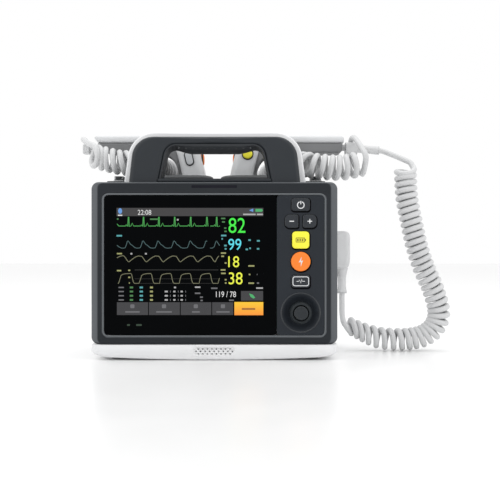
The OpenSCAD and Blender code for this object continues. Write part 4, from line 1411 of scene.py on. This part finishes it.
def screen_icons():
    figure = Lit(1)
    figure.outline([(3.9 + 2.2 * x, 3.4 + 3.1 * z) for x, z in disc(0, 0, 1, 20)])
    figure.outline([(148.2 + 2.4 * x, 2.6 + 1.9 * z) for x, z in ((-1, 0), (0.9, -1), (0.9, 1))])
    figure.make("icon_patient", BLUE)
    under = Lit(1)
    under.bar(1.5, 6.3, 7.5, 8.7)
    under.make("icon_patient_bar", WHITE)
    cell = Lit(1)
    cell.bar(152.8, 160.0, 1.1, 4.2)
    cell.bar(160.0, 160.8, 1.9, 3.4)
    cuff = [(-1, -0.9), (0.2, -0.5), (1, 0.7), (0.4, 1), (-0.5, 0.4)]
    cell.outline([(149.2 + 3.4 * x, 96.8 + 2.9 * z) for x, z in cuff])
    cell.make("icon_battery", glow("lit_icon_green", (0.05, 0.42, 0.13)))
    word = Lit(1)
    word.bar(137.8, 152.6, 110.1, 112.2)
    word.make("icon_orange_pad", glow("lit_brown", (0.36, 0.13, 0.01)))
    lamps = Shape()
    for x0, x1 in ((-95.9, -92.6), (-86, -79.6)):
        lamps.prism_y(rounded(x0, x1, 38.2, 40.2, 0.9, 4), LIT_Y, LIT_Y + 0.05)
    make("mains_and_battery_lamps", lamps, glow("lit_lamps", (0.004, 0.03, 0.008)), "housing", "screen")


ecg_trace()
pulse_trace()
breath_trace()
gas_trace()
display_marks()
figures()
labels()
screen_icons()

# ---------- paddles ----------


KEY_OUT = 1.7       # how far the orange keys' caps stand out of the melted shells


def oval(cx, cz, half_w, half_h, lean, count=16):
    """Upright oval with round ends, leaning by some degrees."""
    top = arc(0, half_h - half_w, half_w, 0, 180, count)
    low = arc(0, half_w - half_h, half_w, 180, 360, count)
    c, s = math.cos(math.radians(lean)), math.sin(math.radians(lean))
    return [(cx + x * c - z * s, cz + x * s + z * c) for x, z in top + low]


def slab_ring(z, x0, x1, y0, y1, r):
    return at_z(rounded(x0, x1, y0, y1, r, 8), z)


def bar_ring(x, y0, y1, z0, z1, r, lean=0.0):
    """Section of the grip's top. With lean, its lower edge lies further in."""
    return [(x - lean * (z1 - z), y, z) for y, z in rounded(y0, y1, z0, z1, r, 8)]


def paddle_shell(side):
    """Light leg and top of a paddle, melted into one skin."""
    lean = 0.75 if side == "left" else 0.0
    end = SHELL.x1 if side == "left" else SHELL.x1 + 3
    shape = Shape()
    shape.loft([
        slab_ring(210.5, 14, 45, 6, 48, 9), slab_ring(212, 15, 44, 7, 47, 9),
        slab_ring(220, 16.5, 45.5, 7.5, 46.5, 9), slab_ring(232, 19.5, 49, 8.4, 45.6, 8.5),
        slab_ring(243, 22, 53, 9.2, 44.8, 8), slab_ring(254, 24, 57, 10, 44, 8),
    ])
    top = SHELL.z1
    rings = []
    stations = [
        (22.5, 3.2, 4), (23.5, 1.6, 1.8), (26, 0.5, 0.5), (30, 0, 0), (60, 0, 0), (100, 0, 0),
        (end - 8, 0, 0), (end - 3, 0.3, 0.5), (end - 1, 1.0, 1.6), (end, 2.2, 3.4),
    ]
    for x, drop, narrow in stations:
        rings.append(bar_ring(x, 10 + narrow, 44 - narrow, 252 + drop * 0.4, top - drop, 3.6, lean))
    shape.loft(rings)
    shape.loft([at_y(rounded(22, 56, 242, 258, 6, 6), y) for y in (10, 44)])
    if side == "left":
        shape = mirrored(shape)
    piece = make(f"paddle_{side}_body", shape, "paddle_grey", f"paddle_{side}", "paddle_grey",
                 [f"paddle_{side}_shell"])
    return melted(piece, 0.9, 6)


def paddle_grip(side):
    """Soft lower half of a grip, which sweeps down the outside of the leg."""
    lean = 9 if side == "left" else 0
    outline = [(49, 251.7), (49, 240), (43.5, 211.2), (48, 211.2)]
    outline += arc(74, 214, 26, 180, 90, 16)
    tip = GRIP.x1 if side == "left" else GRIP.x1 + 5
    outline += arc(tip - 5 - lean, 245, 5, -90, -10, 8)
    outline += [(tip, 251.7)]
    shape = Shape().prism_y(outline, GRIP.y0, GRIP.y1)
    if side == "left":
        shape = mirrored(shape)
    return make(f"paddle_{side}_soft", shape, "soft_grip", f"paddle_{side}", "soft_grip",
                [f"paddle_{side}_grip"], bevel=3.2, segments=5, sharp=50)


def paddle_base(side):
    rings = []
    for z, inset in ((PLATE.z0, 1.2), (PLATE.z0 + 0.7, 0.2), (PLATE.z0 + 1.6, 0), (PLATE.z0 + 3.4, 0.1),
                     (PLATE.z0 + 5, 1.1), (PLATE.z0 + 6.2, 3), (PLATE.z0 + 7, 5.6), (PLATE.z1, 9)):
        rings.append(slab_ring(z, PLATE.x0 + inset, PLATE.x1 - inset, PLATE.y0 + inset, PLATE.y1 - inset, 12))
    shape = Shape().loft(rings)
    if side == "left":
        shape = mirrored(shape)
    return make(f"paddle_{side}_plate", shape, "tray_grey", f"paddle_{side}", "tray_grey",
                [f"paddle_{side}_base"], sharp=50)


def round_paddle_key(node, name, place, r, near, far, material, seal_body):
    """Domed round key in a dark seal."""
    body, slot = on_node(node)
    d = 1 if far > near else -1
    profile = [(0.01, near), (r * 0.55, near + 0.12 * d), (r - 1.3, near + 0.4 * d),
               (r - 0.35, near + 0.9 * d), (r, near + 1.8 * d), (r, far)]
    make(name, Shape().lathe(profile, place, 40), material, body, slot, [node], sharp=50)
    seal = [(r + 0.15, near + 2.1 * d), (r + 0.25, near + 1.5 * d), (r + 0.9, near + 1.4 * d),
            (r + 1.3, near + 1.9 * d), (r + 1.3, near + 3.2 * d), (r + 0.15, near + 3.2 * d)]
    ring = Shape().lathe(seal, place, 40, closed=True)
    make(name + "_seal", ring, "black_rubber", seal_body, "black_rubber", solid=False)


def paddle_keys():
    key = box_mm("paddle_right_charge_key")
    round_paddle_key("paddle_right_charge_key", "paddle_charge_cap", around_y(key.cx, key.cz), 5.85,
                     key.y0, key.y1, "key_yellow", "paddle_right")
    key = box_mm("paddle_right_shock_key")
    round_paddle_key("paddle_right_shock_key", "paddle_right_shock_cap", around_x(27, 233), 7,
                     key.x0 - KEY_OUT, key.x1, "key_orange", "paddle_right")
    key = box_mm("paddle_left_shock_key")
    round_paddle_key("paddle_left_shock_key", "paddle_left_shock_cap", around_x(27, 233, -1), 7,
                     -key.x1 - KEY_OUT, -key.x0, "key_orange", "paddle_left")
    key = box_mm("paddle_left_select_key")
    shape = Shape().prism_y(oval(key.cx, key.cz, 4, 8, 14), key.y0, key.y1)
    make("paddle_select_cap", shape, "port_light", "paddle_left_select", "port_light",
         ["paddle_left_select_key"], bevel=1.1, segments=4, sharp=50)
    seal = Shape()
    outer = oval(key.cx, key.cz, 5.2, 9.2, 14)
    ring_outline(seal, outer, oval(key.cx, key.cz, 4.15, 8.15, 14), key.y0 + 0.9, key.y1)
    make("paddle_select_seal", seal, "black_rubber", "paddle_left", "black_rubber", solid=False)


for side in ("left", "right"):
    paddle_shell(side)
    paddle_grip(side)
    paddle_base(side)
paddle_keys()

# ---------- CAD nodes that stay ----------


def dress_nodes():
    """Gives every CAD node its material, and soft edges to those that show."""
    for name, node in NODES.items():
        node.data.materials.clear()
        node.data.materials.append(MATERIALS[SLOT_OF[name]])
        if node.hide_render:
            continue
        joined = node.modifiers.new("joined", "WELD")
        joined.merge_threshold = 0.00002
        rounding = node.modifiers.new("rounding", "BEVEL")
        rounding.width = 0.0004
        rounding.segments = 2
        rounding.limit_method = "ANGLE"
        rounding.angle_limit = math.radians(40)
        node.modifiers.new("shading", "WEIGHTED_NORMAL")


dress_nodes()

# ---------- floor and light ----------


def stage():
    size = 6
    mesh = bpy.data.meshes.new("floor")
    corners = [(-size, -size, 0), (size, -size, 0), (size, size, 0), (-size, size, 0)]
    mesh.from_pydata(corners, [], [[0, 1, 2, 3]])
    mesh.materials.append(MATERIALS["floor"])
    floor = bpy.data.objects.new("floor", mesh)
    bpy.context.scene.collection.objects.link(floor)
    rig.stage(floor)


def softbox(name, place, target, size, power):
    data = bpy.data.lights.new(name, "AREA")
    data.shape = "RECTANGLE"
    data.size, data.size_y = size
    data.energy = power
    lamp = bpy.data.objects.new(name, data)
    lamp.location = place
    lamp.rotation_euler = (Vector(target) - Vector(place)).to_track_quat("-Z", "Y").to_euler()
    bpy.context.scene.collection.objects.link(lamp)


def light():
    world = bpy.data.worlds.new("studio")
    world.use_nodes = True
    world.node_tree.nodes["Background"].inputs["Color"].default_value = (1, 1, 1, 1)
    world.node_tree.nodes["Background"].inputs["Strength"].default_value = 1.0
    bpy.context.scene.world = world
    bpy.context.scene.view_settings.view_transform = "Standard"
    softbox("left_box", (-1.5, -0.9, 1.1), (0, 0, 0.12), (0.8, 1.2), 6)
    softbox("right_box", (1.6, -0.7, 0.9), (0.05, 0, 0.12), (0.8, 1.2), 4)
    softbox("top_box", (0, 0.1, 1.8), (0, 0, 0.1), (1.6, 1.0), 9)


stage()
light()

boxes = {"cad": [list(v) for v in cad_box], "visual": [list(v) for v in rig.bounds()]}
with open("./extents.json", "w") as out:
    json.dump(boxes, out)
